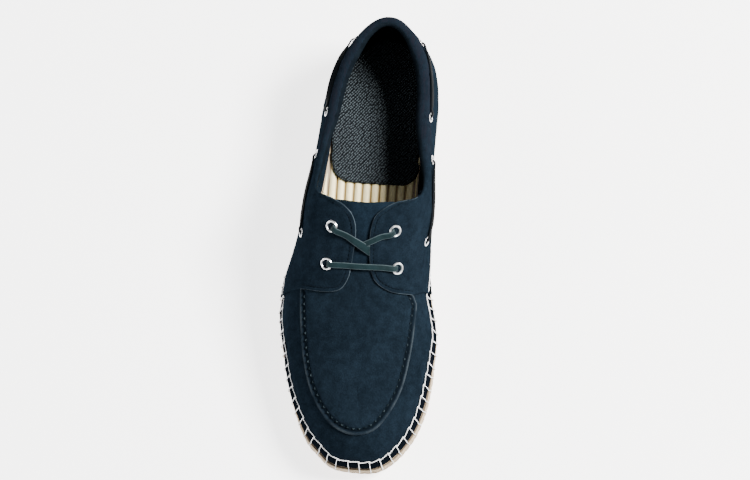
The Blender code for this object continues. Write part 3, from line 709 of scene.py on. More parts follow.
@dataclass(frozen=True)
class Suede(Finish):
    """Nubuck or suede: a short nap, mottled, with worn cut edges.

    Attributes:
        cut: colour of a raw edge.
        sheen: how much the nap catches light.
        rub: distances from an edge over which the raw colour fades.
        trough: distance from an edge at which shade is painted dark in a groove, or 0 for none.
    """

    cut: Colour
    sheen: float = 0.004
    rub: tuple[float, float] = (0.15, 0.6)
    trough: float = 0.0

    def make(self) -> bpy.types.Material:
        """Builds the material; attributes: edge (distance from a cut edge), collar and band (0 to 1), where
        band paints shade below the blanket stitch.
        """
        graph = Graph(self.name)
        cloud = graph.noise(26.0, 3.0, 0.55, distortion=0.4)
        brush = graph.noise(5.0, 3.0, 0.6)
        nap = graph.noise(0.75, 2.0, 0.65)
        fibres = graph.noise(0.3, 2.0, 0.6, graph.stretched((1.0, 0.35, 1.0)))
        share = (cloud * 0.5 + brush * 0.7 + nap * 0.85 - 0.62).step(0.05, 0.95)
        colour = graph.mix(share, self.deep, self.bright)
        edge = graph.own("edge")
        # Painted shade: a dark line in the groove inside the raised edge.
        if self.trough:
            inner = edge.step(self.trough - 0.7, self.trough - 0.1)
            pressed = inner * (1.0 - edge.step(self.trough + 0.5, self.trough + 1.5))
            dark = tuple(0.5 * part for part in self.deep)
            colour = graph.mix(pressed * (brush * 0.6 + 0.45), colour, dark)
        rubbed = graph.noise(16.0, 2.0, 0.5).step(0.4, 0.58) * 1.1 + 0.3
        worn = (1.0 - edge.step(*self.rub)) * (brush + 0.2) * rubbed
        colour = graph.mix(worn, colour, self.cut)
        streaks = graph.noise(1.6, 3.0, 0.65, graph.stretched((1.0, 0.1, 1.0))).step(0.42, 0.66)
        colour = graph.mix(graph.own("collar") * (streaks * 0.75 + 0.2), colour, COLLAR_RUB)
        # Painted shade: the wall below the blanket stitch's running thread, between the bars, is darkened.
        colour = graph.mix(graph.own("band") * 0.85, colour, PAINTED_SHADE_BELOW_STITCH)
        height = nap * 0.6 + fibres * 0.4
        normal = graph.bump(height, 0.16, graph.bump(brush, 0.22, graph.bump(cloud, 0.5)))
        return graph.finish({"Base Color": colour, "Roughness": nap * 0.16 + 0.78, "Normal": normal},
                            sheen_weight=self.sheen, sheen_roughness=0.5, specular_ior_level=0.0,
                            sheen_tint=(0.45, 0.62, 0.8, 1.0))


@dataclass(frozen=True)
class SmoothLeather(Finish):
    """Plain flat leather of a lace or a lining.

    Attributes:
        rub: colour of the edges: rubbed leather, and on the laces also a painted highlight.
        rough: its roughness.
        shine: strength of its reflections.
    """

    rub: Colour
    rough: float = 0.55
    shine: float = 0.08

    def make(self) -> bpy.types.Material:
        """Builds the material; the attribute edge is the distance from an edge, which is rubbed and on the
        laces carries a painted highlight.
        """
        graph = Graph(self.name)
        cloud = graph.noise(6.0, 3.0, 0.55)
        grain = graph.cells(0.55)
        pores = graph.noise(0.35, 2.0, 0.5)
        colour = graph.mix((cloud * 1.3 - 0.15).step(0.0, 1.0), self.deep, self.bright)
        # Edge colour: partly rubbed leather, partly a painted highlight along a lace's edges.
        rubbed = 1.0 - graph.own("edge").step(0.2, 0.55)
        colour = graph.mix(rubbed * (cloud * 0.6 + 0.45), colour, self.rub)
        normal = graph.bump(grain * 0.7 + pores * 0.3, 0.06, graph.bump(cloud, 0.15))
        rough = pores * 0.2 + (self.rough - 0.1)
        return graph.finish({"Base Color": colour, "Normal": normal, "Roughness": rough},
                            specular_ior_level=self.shine)


@dataclass(frozen=True)
class PebbledLeather(Finish):
    """Grained leather of the heel sock: small oval pebbles in slanting rows, each crest with a painted
    highlight.

    Attributes:
        pebble: distance from one pebble to the next.
        turn: radians that their rows are turned by.
    """

    pebble: float = 1.5
    turn: float = -0.86

    def make(self) -> bpy.types.Material:
        """Builds the material."""
        graph = Graph(self.name)
        slanted = graph.stretched((1.0, 1.0, 1.0), (0.0, 0.0, self.turn))
        rows = graph.stretched((0.85, 1.0, 1.0), of=slanted)
        bead = graph.beads(self.pebble, rows, 0.45, 0.62)
        mound = 1.0 - (bead * 3.1) ** 2.0
        crease = graph.noise(0.6, 2.0, 0.6)
        wide = graph.noise(12.0, 2.0, 0.5)
        crest = mound.step(0.0, 1.0)
        # Painted highlight: the pebbles' crests take the bright colour as glints.
        colour = graph.mix(crest * (wide * 0.5 + 0.7), self.deep, self.bright)
        normal = graph.bump(crease, 0.05, graph.bump(mound, 0.26, graph.bump(wide, 0.25)))
        rough = 0.58 - crest * 0.18 + crease * 0.08
        return graph.finish({"Base Color": colour, "Normal": normal, "Roughness": rough},
                            specular_ior_level=0.09)


@dataclass(frozen=True)
class Rope(Finish):
    """Jute braid: coarse fibres along each strand, with shade painted dark into the hollows.

    Attributes:
        pale: colour of the palest fibres.
        tan: colour towards the ground.
        depth: depths between which the painted shade of the hollows comes in.
    """

    pale: Colour
    tan: Colour
    depth: tuple[float, float]

    def make(self) -> bpy.types.Material:
        """Builds the material; attributes: proud (0 hollow to 1 strand) and low (1 at the ground)."""
        graph = Graph(self.name)
        fibres = graph.noise(0.5, 3.0, 0.7, graph.stretched((1.0, 0.16, 1.0), of=graph.uv()))
        hairs = graph.noise(0.22, 2.0, 0.7, graph.stretched((1.0, 0.3, 1.0), of=graph.uv()))
        cloud = graph.noise(9.0, 3.0, 0.55)
        proud = graph.own("proud")
        colour = graph.mix((fibres * 1.2 + cloud * 0.5 - 0.35).step(0.1, 0.95), self.bright, self.pale)
        # Painted shade: the hollows between strands take the deep colour.
        colour = graph.mix((1.0 - proud).step(*self.depth), colour, self.deep)
        colour = graph.mix(graph.own("low").step(0.1, 1.0) * (cloud * 0.7 + 0.5), colour, self.tan)
        normal = graph.bump(fibres, 0.34, graph.bump(hairs, 0.1))
        return graph.finish({"Base Color": colour, "Normal": normal, "Roughness": fibres * 0.12 + 0.82},
                            specular_ior_level=0.2)


@dataclass(frozen=True)
class Thread(Finish):
    """Waxed thread with some lint.

    Attributes:
        shine: strength of its reflections.
    """

    shine: float

    def make(self) -> bpy.types.Material:
        """Builds the material."""
        graph = Graph(self.name)
        lint = graph.noise(0.35, 2.0, 0.6)
        cloud = graph.noise(4.0, 2.0, 0.5)
        colour = graph.mix((lint * 0.5 + cloud * 1.3 - 0.45).step(0.1, 0.8), self.deep, self.bright)
        return graph.finish({"Base Color": colour, "Normal": graph.bump(lint, 0.1),
                             "Roughness": lint * 0.2 + 0.6}, specular_ior_level=self.shine)


class Metal(Finish):
    """Polished nickel with fine handling marks."""

    def make(self) -> bpy.types.Material:
        """Builds the material."""
        graph = Graph(self.name)
        cloud = graph.noise(1.6, 3.0, 0.6)
        marks = graph.noise(0.25, 2.0, 0.7, graph.stretched((1.0, 5.0, 1.0)))
        colour = graph.mix(cloud.step(0.3, 0.7), self.deep, self.bright)
        rough = cloud * 0.1 + marks * 0.08 + 0.2
        return graph.finish({"Base Color": colour, "Roughness": rough, "Normal": graph.bump(marks, 0.003)},
                            metallic=1.0)


class Rubber(Finish):
    """Soft gum rubber, dusty and slightly grained."""

    def make(self) -> bpy.types.Material:
        """Builds the material."""
        graph = Graph(self.name)
        cloud = graph.noise(14.0, 3.0, 0.6)
        grain = graph.noise(0.45, 2.0, 0.6)
        dust = graph.noise(2.6, 4.0, 0.7)
        colour = graph.mix((cloud * 0.9 + dust * 0.5 - 0.2).step(0.2, 0.9), self.deep, self.bright)
        return graph.finish({"Base Color": colour, "Normal": graph.bump(grain, 0.07),
                             "Roughness": dust * 0.2 + 0.58}, specular_ior_level=0.35)


NAVY = Suede("navy suede", (0.0026, 0.0046, 0.0071), (0.0077, 0.0135, 0.0209), (0.042, 0.056, 0.066))
# Its trough paints shade into the groove inside the apron's raised edge.
APRON_NAVY = Suede("apron suede", (0.0030, 0.0052, 0.0079), (0.0083, 0.0146, 0.0224),
                   (0.0215, 0.0280, 0.0335), rub=(0.75, 1.4), trough=1.9)
TONGUE_NAVY = Suede("tongue suede", (0.0032, 0.0060, 0.0096), (0.0078, 0.0146, 0.0234), (0.012, 0.018, 0.024))
LINING = SmoothLeather("lining", (0.0018, 0.0030, 0.0044), (0.0046, 0.0076, 0.0110), (0.003, 0.005, 0.007),
                       rough=0.85, shine=0.02)
# Its rub colour is partly a painted highlight along the laces' edges.
LACE_TEAL = SmoothLeather("lace leather", (0.0028, 0.0082, 0.0100), (0.0058, 0.0160, 0.0185),
                          (0.045, 0.062, 0.068), rough=0.6)
SIDE_NAVY = SmoothLeather("side lace leather", (0.0008, 0.0011, 0.0016), (0.0018, 0.0026, 0.0036),
                          (0.0030, 0.0042, 0.0055), rough=0.6, shine=0.015)
# The sock's bright colour is the painted glint on its pebbles.
SOCK_BLACK = PebbledLeather("sock leather", (0.0086, 0.0108, 0.0132), (0.0500, 0.0640, 0.0720))
# The first colour of each rope is the painted shade of its hollows.
FOOTBED = Rope("footbed jute", (0.23, 0.155, 0.058), (0.88, 0.74, 0.40), (1.0, 0.91, 0.58),
               (0.26, 0.155, 0.075), depth=(0.2, 0.85))
JUTE = Rope("jute", (0.085, 0.062, 0.040), (0.30, 0.225, 0.15), (0.52, 0.42, 0.30), (0.17, 0.105, 0.06),
            depth=(0.35, 1.0))
WHITE_THREAD = Thread("white thread", (0.66, 0.66, 0.66), (0.92, 0.92, 0.92), 0.3)
NAVY_THREAD = Thread("navy thread", (0.0018, 0.0030, 0.0046), (0.0050, 0.0080, 0.0110), 0.0)
APRON_THREAD = Thread("apron thread", (0.0030, 0.0055, 0.0075), (0.024, 0.034, 0.040), 0.0)
NICKEL = Metal("nickel", (0.80, 0.81, 0.82), (0.95, 0.95, 0.95))
GUM = Rubber("gum rubber", (0.30, 0.165, 0.075), (0.44, 0.27, 0.135))


class Slot(Enum):
    """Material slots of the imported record."""

    SUEDE = "navy_suede"
    TONGUE = "tongue_suede"
    SOCK = "sock_leather"
    JUTE = "jute"
    RUBBER = "gum_rubber"
    METAL = "eyelet_metal"
    LACE = "lace"
    SIDE_LACE = "side_lace"


# ---------------------------------------------------------------- modelling by operators
def deselect() -> None:
    """Nothing selected, so that an operator touches only what is made next."""
    bpy.ops.object.select_all(action="DESELECT")


def alone(thing: bpy.types.Object) -> None:
    """Makes one object the only selected and active one."""
    deselect()
    thing.select_set(True)
    bpy.context.view_layer.objects.active = thing


def edit(thing: bpy.types.Object, *steps: Callable[[], object]) -> None:
    """Runs operators in edit mode on all of an object."""
    alone(thing)
    bpy.ops.object.mode_set(mode="EDIT")
    bpy.ops.mesh.select_all(action="SELECT")
    for step in steps:
        step()
    bpy.ops.object.mode_set(mode="OBJECT")


def weld(thing: bpy.types.Object) -> None:
    """Merges doubles, then points the faces outwards and smooths them."""
    edit(thing,
         lambda: bpy.ops.mesh.remove_doubles(threshold=0.000004),
         lambda: bpy.ops.mesh.dissolve_degenerate(threshold=0.000001),
         lambda: bpy.ops.mesh.normals_make_consistent(inside=False))
    bpy.ops.object.shade_smooth()


def net_piece(name: str, net: Array, marks: dict[str, Array] | None = None, uv: Array | None = None,
              closed: bool = True) -> bpy.types.Object:
    """Piece shaped from a grid whose points are moved to their places; seams that coincide are welded.

    Args:
        name: the piece's name.
        net: rows x columns x 3 points, in shoe millimetres.
        marks: attributes with one number for each point.
        uv: rows x columns x 2 places in millimetres along the surface.
        closed: True to weld the seams.

    Returns:
        The object.
    """
    rows, columns = net.shape[:2]
    deselect()
    bpy.ops.mesh.primitive_grid_add(x_subdivisions=columns - 1, y_subdivisions=rows - 1, size=1.0)
    thing = bpy.context.object
    thing.name = thing.data.name = name
    mesh = thing.data
    mesh.vertices.foreach_set("co", world(net).astype(np.float32).ravel())
    for label, values in (marks or {}).items():
        mark = mesh.attributes.new(label, "FLOAT", "POINT")
        mark.data.foreach_set("value", values.astype(np.float32).ravel())
    if uv is not None:
        corners = np.zeros(len(mesh.loops), np.int32)
        mesh.loops.foreach_get("vertex_index", corners)
        flat = (uv.reshape(-1, 2)[corners] * MM).astype(np.float32)
        mesh.uv_layers["UVMap"].data.foreach_set("uv", flat.ravel())
    mesh.update()
    if closed:
        weld(thing)
    else:
        alone(thing)
        bpy.ops.object.shade_smooth()
    return thing


def dress(thing: bpy.types.Object, finish: bpy.types.Material, slot: Slot,
          *nodes: str) -> bpy.types.Object:
    """Gives a piece its material and its body, and hides the nodes that it stands for; slot is not used."""
    thing.data.materials.clear()
    thing.data.materials.append(finish)
    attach(thing, "root")
    if nodes:
        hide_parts(*nodes)
    LOG.info("%s: %d faces", thing.name, len(thing.data.polygons))
    return thing


def swept_net(path: Array, across: Array, up: Array, section: Array, ends: float = 0.0,
              twist: float = 0.0) -> Array:
    """Net of a section carried along a path, closed at both ends.

    Args:
        path: points.
        across: unit direction of the section's first axis at each point.
        up: unit direction of its second axis.
        section: closed loop of (across, up) sizes, or one loop for each point of the path.
        ends: how far the rounded ends reach past the path.
        twist: turns of the section for each millimetre of the path.

    Returns:
        The net's points.
    """
    loops = np.broadcast_to(section, (len(path), *section.shape[-2:]))
    body = carried(path, across, up, turned(loops, lengths(path)[:, None] * twist * TAU))
    start, stop = directions(path)[0] * -ends, directions(path)[-1] * ends
    rounding = ((0.86, 0.5), (0.5, 0.87))
    first, last = path[:1, None], path[-1:, None]
    front = [first + (body[:1] - first) * size + start * reach for size, reach in rounding]
    back = [last + (body[-1:] - last) * size + stop * reach for size, reach in rounding]
    tip = np.broadcast_to(path[0] + start, body[:1].shape)
    tail = np.broadcast_to(path[-1] + stop, body[:1].shape)
    return np.concatenate((tip, *front[::-1], body, *back, tail))


def ring_section(radius: float, sides: int, lobes: float = 0.0) -> Array:
    """Round section, or a twisted cord's with two lobes."""
    angle = np.arange(sides) * TAU / sides
    size = radius * (1.0 + lobes * np.cos(2.0 * angle))
    return np.stack((np.cos(angle) * size, np.sin(angle) * size), axis=1)


def flat_section(width: float, thickness: float, sides: int = 20) -> Array:
    """Flat section with rounded edges."""
    angle = np.arange(sides) * TAU / sides
    x, y = np.cos(angle), np.sin(angle)
    wide = np.sign(x) * np.abs(x) ** 0.42 * width / 2.0
    thick = np.sign(y) * np.abs(y) ** 0.62 * thickness / 2.0
    return np.stack((wide, thick), axis=1)


def join(name: str, things: Sequence[bpy.types.Object]) -> bpy.types.Object:
    """Joins objects into one piece."""
    deselect()
    for thing in things:
        thing.select_set(True)
    bpy.context.view_layer.objects.active = things[0]
    if len(things) > 1:
        bpy.ops.object.join()
    made = bpy.context.object
    made.name = made.data.name = name
    return made


def copies(name: str, model: bpy.types.Object, places: Sequence[Matrix]) -> bpy.types.Object:
    """One joined piece of many copies of a small model, each at its own place; the model is removed.

    Args:
        name: the piece's name.
        model: the shape that repeats, in metres round the origin.
        places: where each copy goes.

    Returns:
        The piece.
    """
    source = model.data
    verts = np.zeros(len(source.vertices) * 3)
    source.vertices.foreach_get("co", verts)
    verts = np.concatenate((verts.reshape(-1, 3), np.ones((len(source.vertices), 1))), axis=1)
    faces = [tuple(face.vertices) for face in source.polygons]
    points, polygons = [], []
    for number, place in enumerate(places):
        points.append((verts @ np.array(place).T)[:, :3])
        polygons += [tuple(corner + number * len(verts) for corner in face) for face in faces]
    mesh = bpy.data.meshes.new(name)
    mesh.from_pydata(np.concatenate(points).tolist(), [], polygons)
    thing = bpy.data.objects.new(name, mesh)
    bpy.context.scene.collection.objects.link(thing)
    bpy.data.objects.remove(model)
    alone(thing)
    bpy.ops.object.shade_smooth()
    return thing


class EdgeFinder:
    """Distance of points from cut edges."""

    def __init__(self, last: Last, lines: Sequence[Array], layer: Layer, step: float = 0.12) -> None:
        """Fills the tree with closely spaced points of lines of places, as they lie on a layer's face."""
        spaced = [evenly(last.line(line, layer), step) for line in lines]
        points = np.concatenate(spaced)
        self.run = np.concatenate([lengths(line) for line in spaced])
        self.tree = KDTree(len(points))
        for number, point in enumerate(points):
            self.tree.insert(point, number)
        self.tree.balance()

    def distance(self, net: Array) -> Array:
        """Distance of each point of a net from the nearest edge."""
        flat = net.reshape(-1, 3)
        return np.array([self.tree.find(point)[2] for point in flat]).reshape(net.shape[:-1])

    def along(self, net: Array) -> Array:
        """Distance along the edge of the place on it that is nearest to each point."""
        flat = net.reshape(-1, 3)
        return self.run[[self.tree.find(point)[1] for point in flat]].reshape(net.shape[:-1])


# ---------------------------------------------------------------- panels of the upper
@dataclass(frozen=True)
class Crease:
    """Soft trough (depth below 0) or ridge (above 0) in the leather, placed in plan.

    Attributes:
        x: middle, across the shoe.
        y: middle, from the toe.
        heading: degrees from the x axis that it runs in.
        length: half length.
        width: half width.
        depth: how far it moves the leather.
    """

    x: float
    y: float
    heading: float
    length: float
    width: float
    depth: float

    def shift(self, points: Array) -> Array:
        """How far this crease moves each point along its normal."""
        spot = turned(points[..., :2] - np.array((self.x, self.y)), -math.radians(self.heading))
        along = spot[..., 0]
        bent = spot[..., 1] - 0.06 * along**2 / self.length
        return self.depth * bell(along, 0.0, self.length) * bell(bent, 0.0, self.width)


CREASES = (
    Crease(-47.0, 84.0, 68.0, 15.0, 3.4, -0.85),
    Crease(-50.5, 70.0, 74.0, 12.0, 2.8, 0.45),
    Crease(33.5, 84.0, 108.0, 15.0, 3.0, -0.75),
    Crease(37.0, 66.0, 112.0, 12.0, 3.0, 0.4),
    Crease(-24.0, 92.0, 14.0, 13.0, 4.0, -0.55),
    Crease(10.0, 95.0, -16.0, 13.0, 4.2, -0.5),
    Crease(-4.0, 84.0, 2.0, 20.0, 5.0, 0.45),
    Crease(-12.0, 60.0, 20.0, 14.0, 6.0, -0.35),
    Crease(14.0, 58.0, -24.0, 12.0, 6.0, 0.3),
    Crease(-22.0, 34.0, 52.0, 9.0, 3.0, -0.3),
    Crease(-30.0, 132.0, 96.0, 10.0, 3.4, -0.5),
    Crease(-37.0, 146.0, 84.0, 14.0, 3.6, 0.5),
    Crease(-41.0, 124.0, 78.0, 13.0, 3.2, -0.55),
    Crease(23.0, 134.0, 88.0, 12.0, 3.6, -0.5),
    Crease(27.0, 150.0, 100.0, 12.0, 3.6, 0.45),
    Crease(-44.0, 186.0, 92.0, 20.0, 4.0, -0.4),
    Crease(36.0, 190.0, 90.0, 22.0, 4.0, -0.45),
    Crease(-20.0, 152.0, 40.0, 8.0, 3.0, 0.35),
    Crease(12.0, 148.0, -40.0, 8.0, 3.0, 0.35),
)


def undulation(points: Array) -> Array:
    """Slight unevenness of soft leather pulled over a last."""
    x, y, z = points[..., 0], points[..., 1], points[..., 2]
    slow = np.sin(x / 8.5 + 1.4 * np.sin(y / 17.0)) * np.sin(y / 12.5 + z / 9.0)
    quick = np.sin(x / 4.1 + z / 3.7 + 0.6 * np.sin(y / 5.0)) * np.sin(y / 6.3 - z / 5.1)
    return 0.16 * slow + 0.06 * quick


@dataclass
class Panel:
    """A leather panel: two faces on the last that meet in rounded edges.

    Attributes:
        last: the last.
        name: the piece's name.
        low: lower boundary on the last, as (s, v) rows, from the panel's left to its right.
        high: upper boundary, likewise.
        left: left boundary, from low to high.
        right: right boundary, likewise.
        outer: layer of the outer face.
        thickness: distance between the faces, for each place.
        columns: points along the panel.
        rows: points up the panel.
        rounding: radius of the edges, for each place.
        relief: extra height of the outer face, for each place.
        fine_sides: True for points that close up towards the left and right boundaries.
        shared_top: True where the panel folds onto itself at its upper boundary.
    """

    last: Last
    name: str
    low: Array
    high: Array
    left: Array
    right: Array
    outer: Layer
    thickness: Callable[[Array], Array]
    columns: int
    rows: int
    rounding: Callable[[Array], Array]
    relief: Callable[[Array], Array]
    fine_sides: bool = True
    shared_top: bool = False

    def shares(self, count: int, fine_start: bool, fine_end: bool, size: float) -> Array:
        """Shares along one direction, closer together by the cut edges."""
        close = np.array((0.0, 0.08, 0.2, 0.36, 0.58, 0.85, 1.2, 1.7, 2.3)) / size
        start = close if fine_start else np.zeros(1)
        stop = 1.0 - close[::-1] if fine_end else np.ones(1)
        middle = np.linspace(start[-1], stop[0], count - len(start) - len(stop) + 2)[1:-1]
        return np.concatenate((start, middle, stop))

    def spots(self) -> tuple[Array, Array]:
        """Places of the panel's points on the last, blended between its four boundaries."""
        wide, tall = (lengths(self.last.line(side, self.outer))[-1] for side in (self.high, self.left))
        a = self.shares(self.columns, self.fine_sides, self.fine_sides, wide)
        w = self.shares(self.rows, False, not self.shared_top, tall)
        sides = (resample(side, shares, self.last.line(side, self.outer))
                 for side, shares in ((self.low, a), (self.high, a), (self.left, w), (self.right, w)))
        both = patch(*sides, a, w)
        return both[..., 0], both[..., 1]

    def build(self, cut_lines: Sequence[Array], hidden_lines: Sequence[Array] = (),
              spread: float = 1.0) -> bpy.types.Object:
        """Makes the piece.

        Args:
            cut_lines: boundaries on the last that show as cut edges.
            hidden_lines: boundaries that only close the panel.
            spread: scale of the distance that is kept; below 1, the worn edge looks wider.

        Returns:
            The object, with attributes edge (distance from a cut edge), lining, band and collar (0 to 1);
            band marks the wall below the blanket stitch, where shade is painted.
        """
        s, v = self.spots()
        face, normal = self.last.at(s, v, self.outer)
        relief = self.relief(face)
        cut = EdgeFinder(self.last, cut_lines, self.outer).distance(face)
        closing = cut
        if hidden_lines:
            closing = np.minimum(cut, EdgeFinder(self.last, hidden_lines, self.outer, 0.3).distance(face))
        sides = [(slice(0, 1), slice(None)), (slice(None), slice(0, 1)), (slice(None), slice(-1, None))]
        if not self.shared_top:
            sides.append((slice(-1, None), slice(None)))
        for side in sides:
            closing[side] = 0.0
        thick = self.thickness(face)
        fall = thick / 2.0 * fillet(closing, self.rounding(face))
        settle = ease(closing, 0.0, 2.5)
        outer = face + normal * (relief * settle - fall)[..., None]
        inner = face + normal * (fall - thick)[..., None]
        if self.shared_top:
            return self.two_skins(outer, inner, cut * spread)
        y = face[..., 1]
        below = Upper.stitch_climb(y, face[..., 0] > SPINE) - (face[..., 2] - seat_height(y))
        collar = ease(y, 185.0, 215.0) * (1.0 - ease(cut, 8.4, 9.4))
        outside = np.zeros_like(cut)
        marks = {
            "edge": (np.minimum(cut * spread + FAR * ease(y, 165.0, 173.0), FAR), np.full_like(cut, FAR)),
            "lining": (outside, ease(cut - 8.5 * ease(y, 160.0, 172.0), 0.0, 0.5)),
            # band: 1 below the blanket stitch's running thread, where the suede paints shade.
            "band": (ease(below, -0.6, 1.0), outside),
            "collar": (collar, collar),
        }
        net = np.concatenate((outer, inner[::-1]))
        return net_piece(self.name, net, {label: np.concatenate(both) for label, both in marks.items()})

    def two_skins(self, outer: Array, inner: Array, cut: Array) -> bpy.types.Object:
        """Piece whose top row folds onto itself, so that each skin is welded before they are joined."""
        marks = {"edge": np.minimum(cut, FAR), "lining": np.zeros_like(cut)}
        top = net_piece(self.name, outer, marks, closed=False)
        marks = {"edge": np.full_like(cut, FAR), "lining": np.ones_like(cut)}
        bottom = net_piece(self.name + "_under", inner[::-1], marks, closed=False)
        made = join(self.name, [top, bottom])
        weld(made)
        return made


def line_to(start: Sequence[float], stop: Sequence[float], count: int = 60) -> Array:
    """Straight line of places."""
    return np.linspace(start, stop, count)


def even(value: float) -> Callable[[Array], Array]:
    """Measure that is the same at every place."""
    return lambda points: np.full(points.shape[:-1], value)


@dataclass
class Upper:
    """Suede upper: vamp, apron, and quarters whose front ends are the eyestay flaps.

    Attributes:
        last: the last.
        skins: search trees of the layers' faces.
        overlap: how far the vamp runs on under the apron, as a share up the side.
        padding: extra thickness of the collar where its padding is fullest.
        edges: boundaries of the panels, as lines of places on the last.
    """

    last: Last
    skins: dict[Layer, Skin] = field(default_factory=dict)
    overlap: float = 0.07
    padding: float = 3.4
    edges: dict[str, Array] = field(default_factory=dict)

    def __post_init__(self) -> None:
        """Makes the search trees and the boundaries of the panels."""
        for layer in (Layer.APRON, Layer.QUARTER, Layer.TONGUE):
            self.skins[layer] = Skin(self.last, layer)
        lines = (("lateral", FLAP_LATERAL, SEAM_LATERAL), ("medial", FLAP_MEDIAL, SEAM_MEDIAL))
        for label, flap, seam in lines:
            line = self.skins[Layer.QUARTER].plan_line(through(flap))
            self.edges[f"{label}_flap"] = line
            self.edges[f"{label}_seam"] = self.seam(seam, line[0])
        self.edges["apron"] = self.skins[Layer.APRON].plan_line(through(APRON_EDGE), TAU)

    def seam(self, line: Sequence[Sequence[float]], top: Array) -> Array:
        """Front seam of a quarter, from the feather up to the flap, where its plan line crosses the face."""
        (x0, y0), (x1, y1) = line
        v = np.linspace(0.0, top[1], 40)
        window = np.linspace(-0.25, 0.25, 201)
        found = []
        for share in v:
            s = top[0] + window
            face, _ = self.last.at(s, np.full_like(s, share), Layer.QUARTER)
            gap = face[:, 1] - (y0 + (face[:, 0] - x0) / (x1 - x0) * (y1 - y0))
            order = np.argsort(gap)
            found.append(np.interp(0.0, gap[order], s[order]))
        return np.stack((np.array(found), v), axis=1)

    def collar_share(self, s: Array) -> Array:
        """Share up the side at which the quarters reach the topline."""
        v = np.linspace(0.2, 1.0, 161)
        found = np.ones_like(s)
        for k, angle in enumerate(s):
            face, _ = self.last.at(np.full_like(v, angle), v, Layer.QUARTER)
            over = face[:, 2] - topline(face[:, 1])
            above = np.nonzero(over > 0.0)[0]
            if len(above) and above[0] > 0:
                j = above[0]
                share = -over[j - 1] / (over[j] - over[j - 1])
                found[k] = v[j - 1] + (v[j] - v[j - 1]) * share
        return found

    def quarter_top(self) -> tuple[Array, int, int]:
        """Upper boundary of the quarters round the heel, and where on each flap it starts."""
        first, last = (round(spans * SPAN) for spans in CORNER_SPANS)
        back_lateral, back_medial = self.edges["lateral_flap"][first:], self.edges["medial_flap"][last:][::-1]
        s = np.linspace(back_lateral[0, 0], back_medial[-1, 0], 1400)
        v = self.collar_share(s)
        flap = np.interp(s, back_lateral[:, 0], back_lateral[:, 1], right=1.0)
        flap = np.where(s > math.pi, np.interp(s, back_medial[:, 0], back_medial[:, 1], left=1.0), flap)
        top = np.minimum(v, flap)
        reach = 14
        soft = np.convolve(np.pad(top, reach, mode="edge"), weights(reach, 7.0), mode="valid")
        return np.stack((s, top + (soft - top) * bell(from_toe(s), 171.0, 7.0)), axis=1), first, last

    @staticmethod
    def padded(points: Array) -> Array:
        """Share of the collar's extra padding at each place: most beside the heel, little behind it."""
        x, y = points[..., 0], points[..., 1]
        side = np.where(x > 5.0, ease(y, 178.0, 212.0), 0.85 * ease(y, 186.0, 242.0))
        return side * (1.0 - 0.75 * ease(y, 262.0, 284.0))

    @staticmethod
    def stitch_climb(y: Array, medial: Array) -> Array:
        """Height over the seat of the blanket stitch's running thread, by place and side."""
        toe = 2.0 * (1.0 - ease(y, 10.0, 55.0))
        inner = 1.5 * ease(y, 20.0, 60.0) + 2.0 * ease(y, 10.0, 55.0) - 3.5 * ease(y, 112.0, 135.0)
        return 9.5 + toe + np.where(medial, inner, 0.0)

    def stitched(self, points: Array) -> Array:
        """Relief of the blanket stitch: a pressed line with small puckers under it."""
        climb = points[..., 2] - seat_height(points[..., 1])
        pucker = np.sin(np.arctan2(points[..., 0] - SPINE, points[..., 1] - 150.0) * BARS)
        line = self.stitch_climb(points[..., 1], points[..., 0] > SPINE)
        return -0.4 * bell(climb, line, 0.9) + 0.11 * pucker * bell(climb, line + 2.5, 3.0)

    def relief(self, points: Array) -> Array:
        """Creases, unevenness and stitched lines of the outer leather."""
        return sum(crease.shift(points) for crease in CREASES) + undulation(points) + self.stitched(points)

    def build_vamp(self, finish: bpy.types.Material) -> bpy.types.Object:
        """The band of suede round the toe, under the apron and the quarters."""
        edge = self.edges["apron"].copy()
        edge[:, 1] += self.overlap
        left_foot, right_foot = edge[0, 0] + 0.012, edge[-1, 0] - 0.012
        panel = Panel(
            self.last, "vamp",
            low=line_to((left_foot, 0.0), (right_foot, 0.0), 400), high=edge,
            left=line_to((left_foot, 0.0), edge[0]), right=line_to((right_foot, 0.0), edge[-1]),
            outer=Layer.VAMP, thickness=even(STOUT), columns=430, rows=64,
            rounding=even(0.6), relief=self.relief, fine_sides=False)
        return dress(panel.build([panel.high]), finish, Slot.SUEDE)

    def build_apron(self, finish: bpy.types.Material) -> bpy.types.Object:
        """The raised plug over the toes, inside its U-shaped edge."""
        edge = self.edges["apron"]
        layer_edge = EdgeFinder(self.last, [edge], Layer.APRON)

        def relief(points: Array) -> Array:
            """The upper's own relief, the bead along the edge and the gathers at each stitch."""
            away = layer_edge.distance(points)
            bead = 0.5 * bell(away, 1.1, 0.95) - 0.6 * bell(away, 2.9, 0.75) - 0.3 * bell(away, 4.4, 0.9)
            phase = np.cos(layer_edge.along(points) / APRON_ROW.pitch * TAU)
            gather = -0.55 * ease(phase, 0.1, 1.0) * bell(away, 4.3, 0.75)
            return self.relief(points) + bead + gather + 0.15 * phase * bell(away, 3.4, 0.6)

        rear = math.acos(1.0 - 2.0 * (APRON_END - CROWN_START) / CROWN_RUN)
        panel = Panel(
            self.last, "apron", low=edge, high=line_to((rear, 1.0), (-rear, 1.0), 400),
            left=line_to(edge[0], (rear, 1.0)), right=line_to(edge[-1], (-rear, 1.0)),
            outer=Layer.APRON, thickness=even(THIN), columns=440, rows=70,
            rounding=even(1.0), relief=relief, fine_sides=False, shared_top=True)
        return dress(panel.build([panel.low], [panel.left, panel.right], 0.62), finish, Slot.SUEDE)

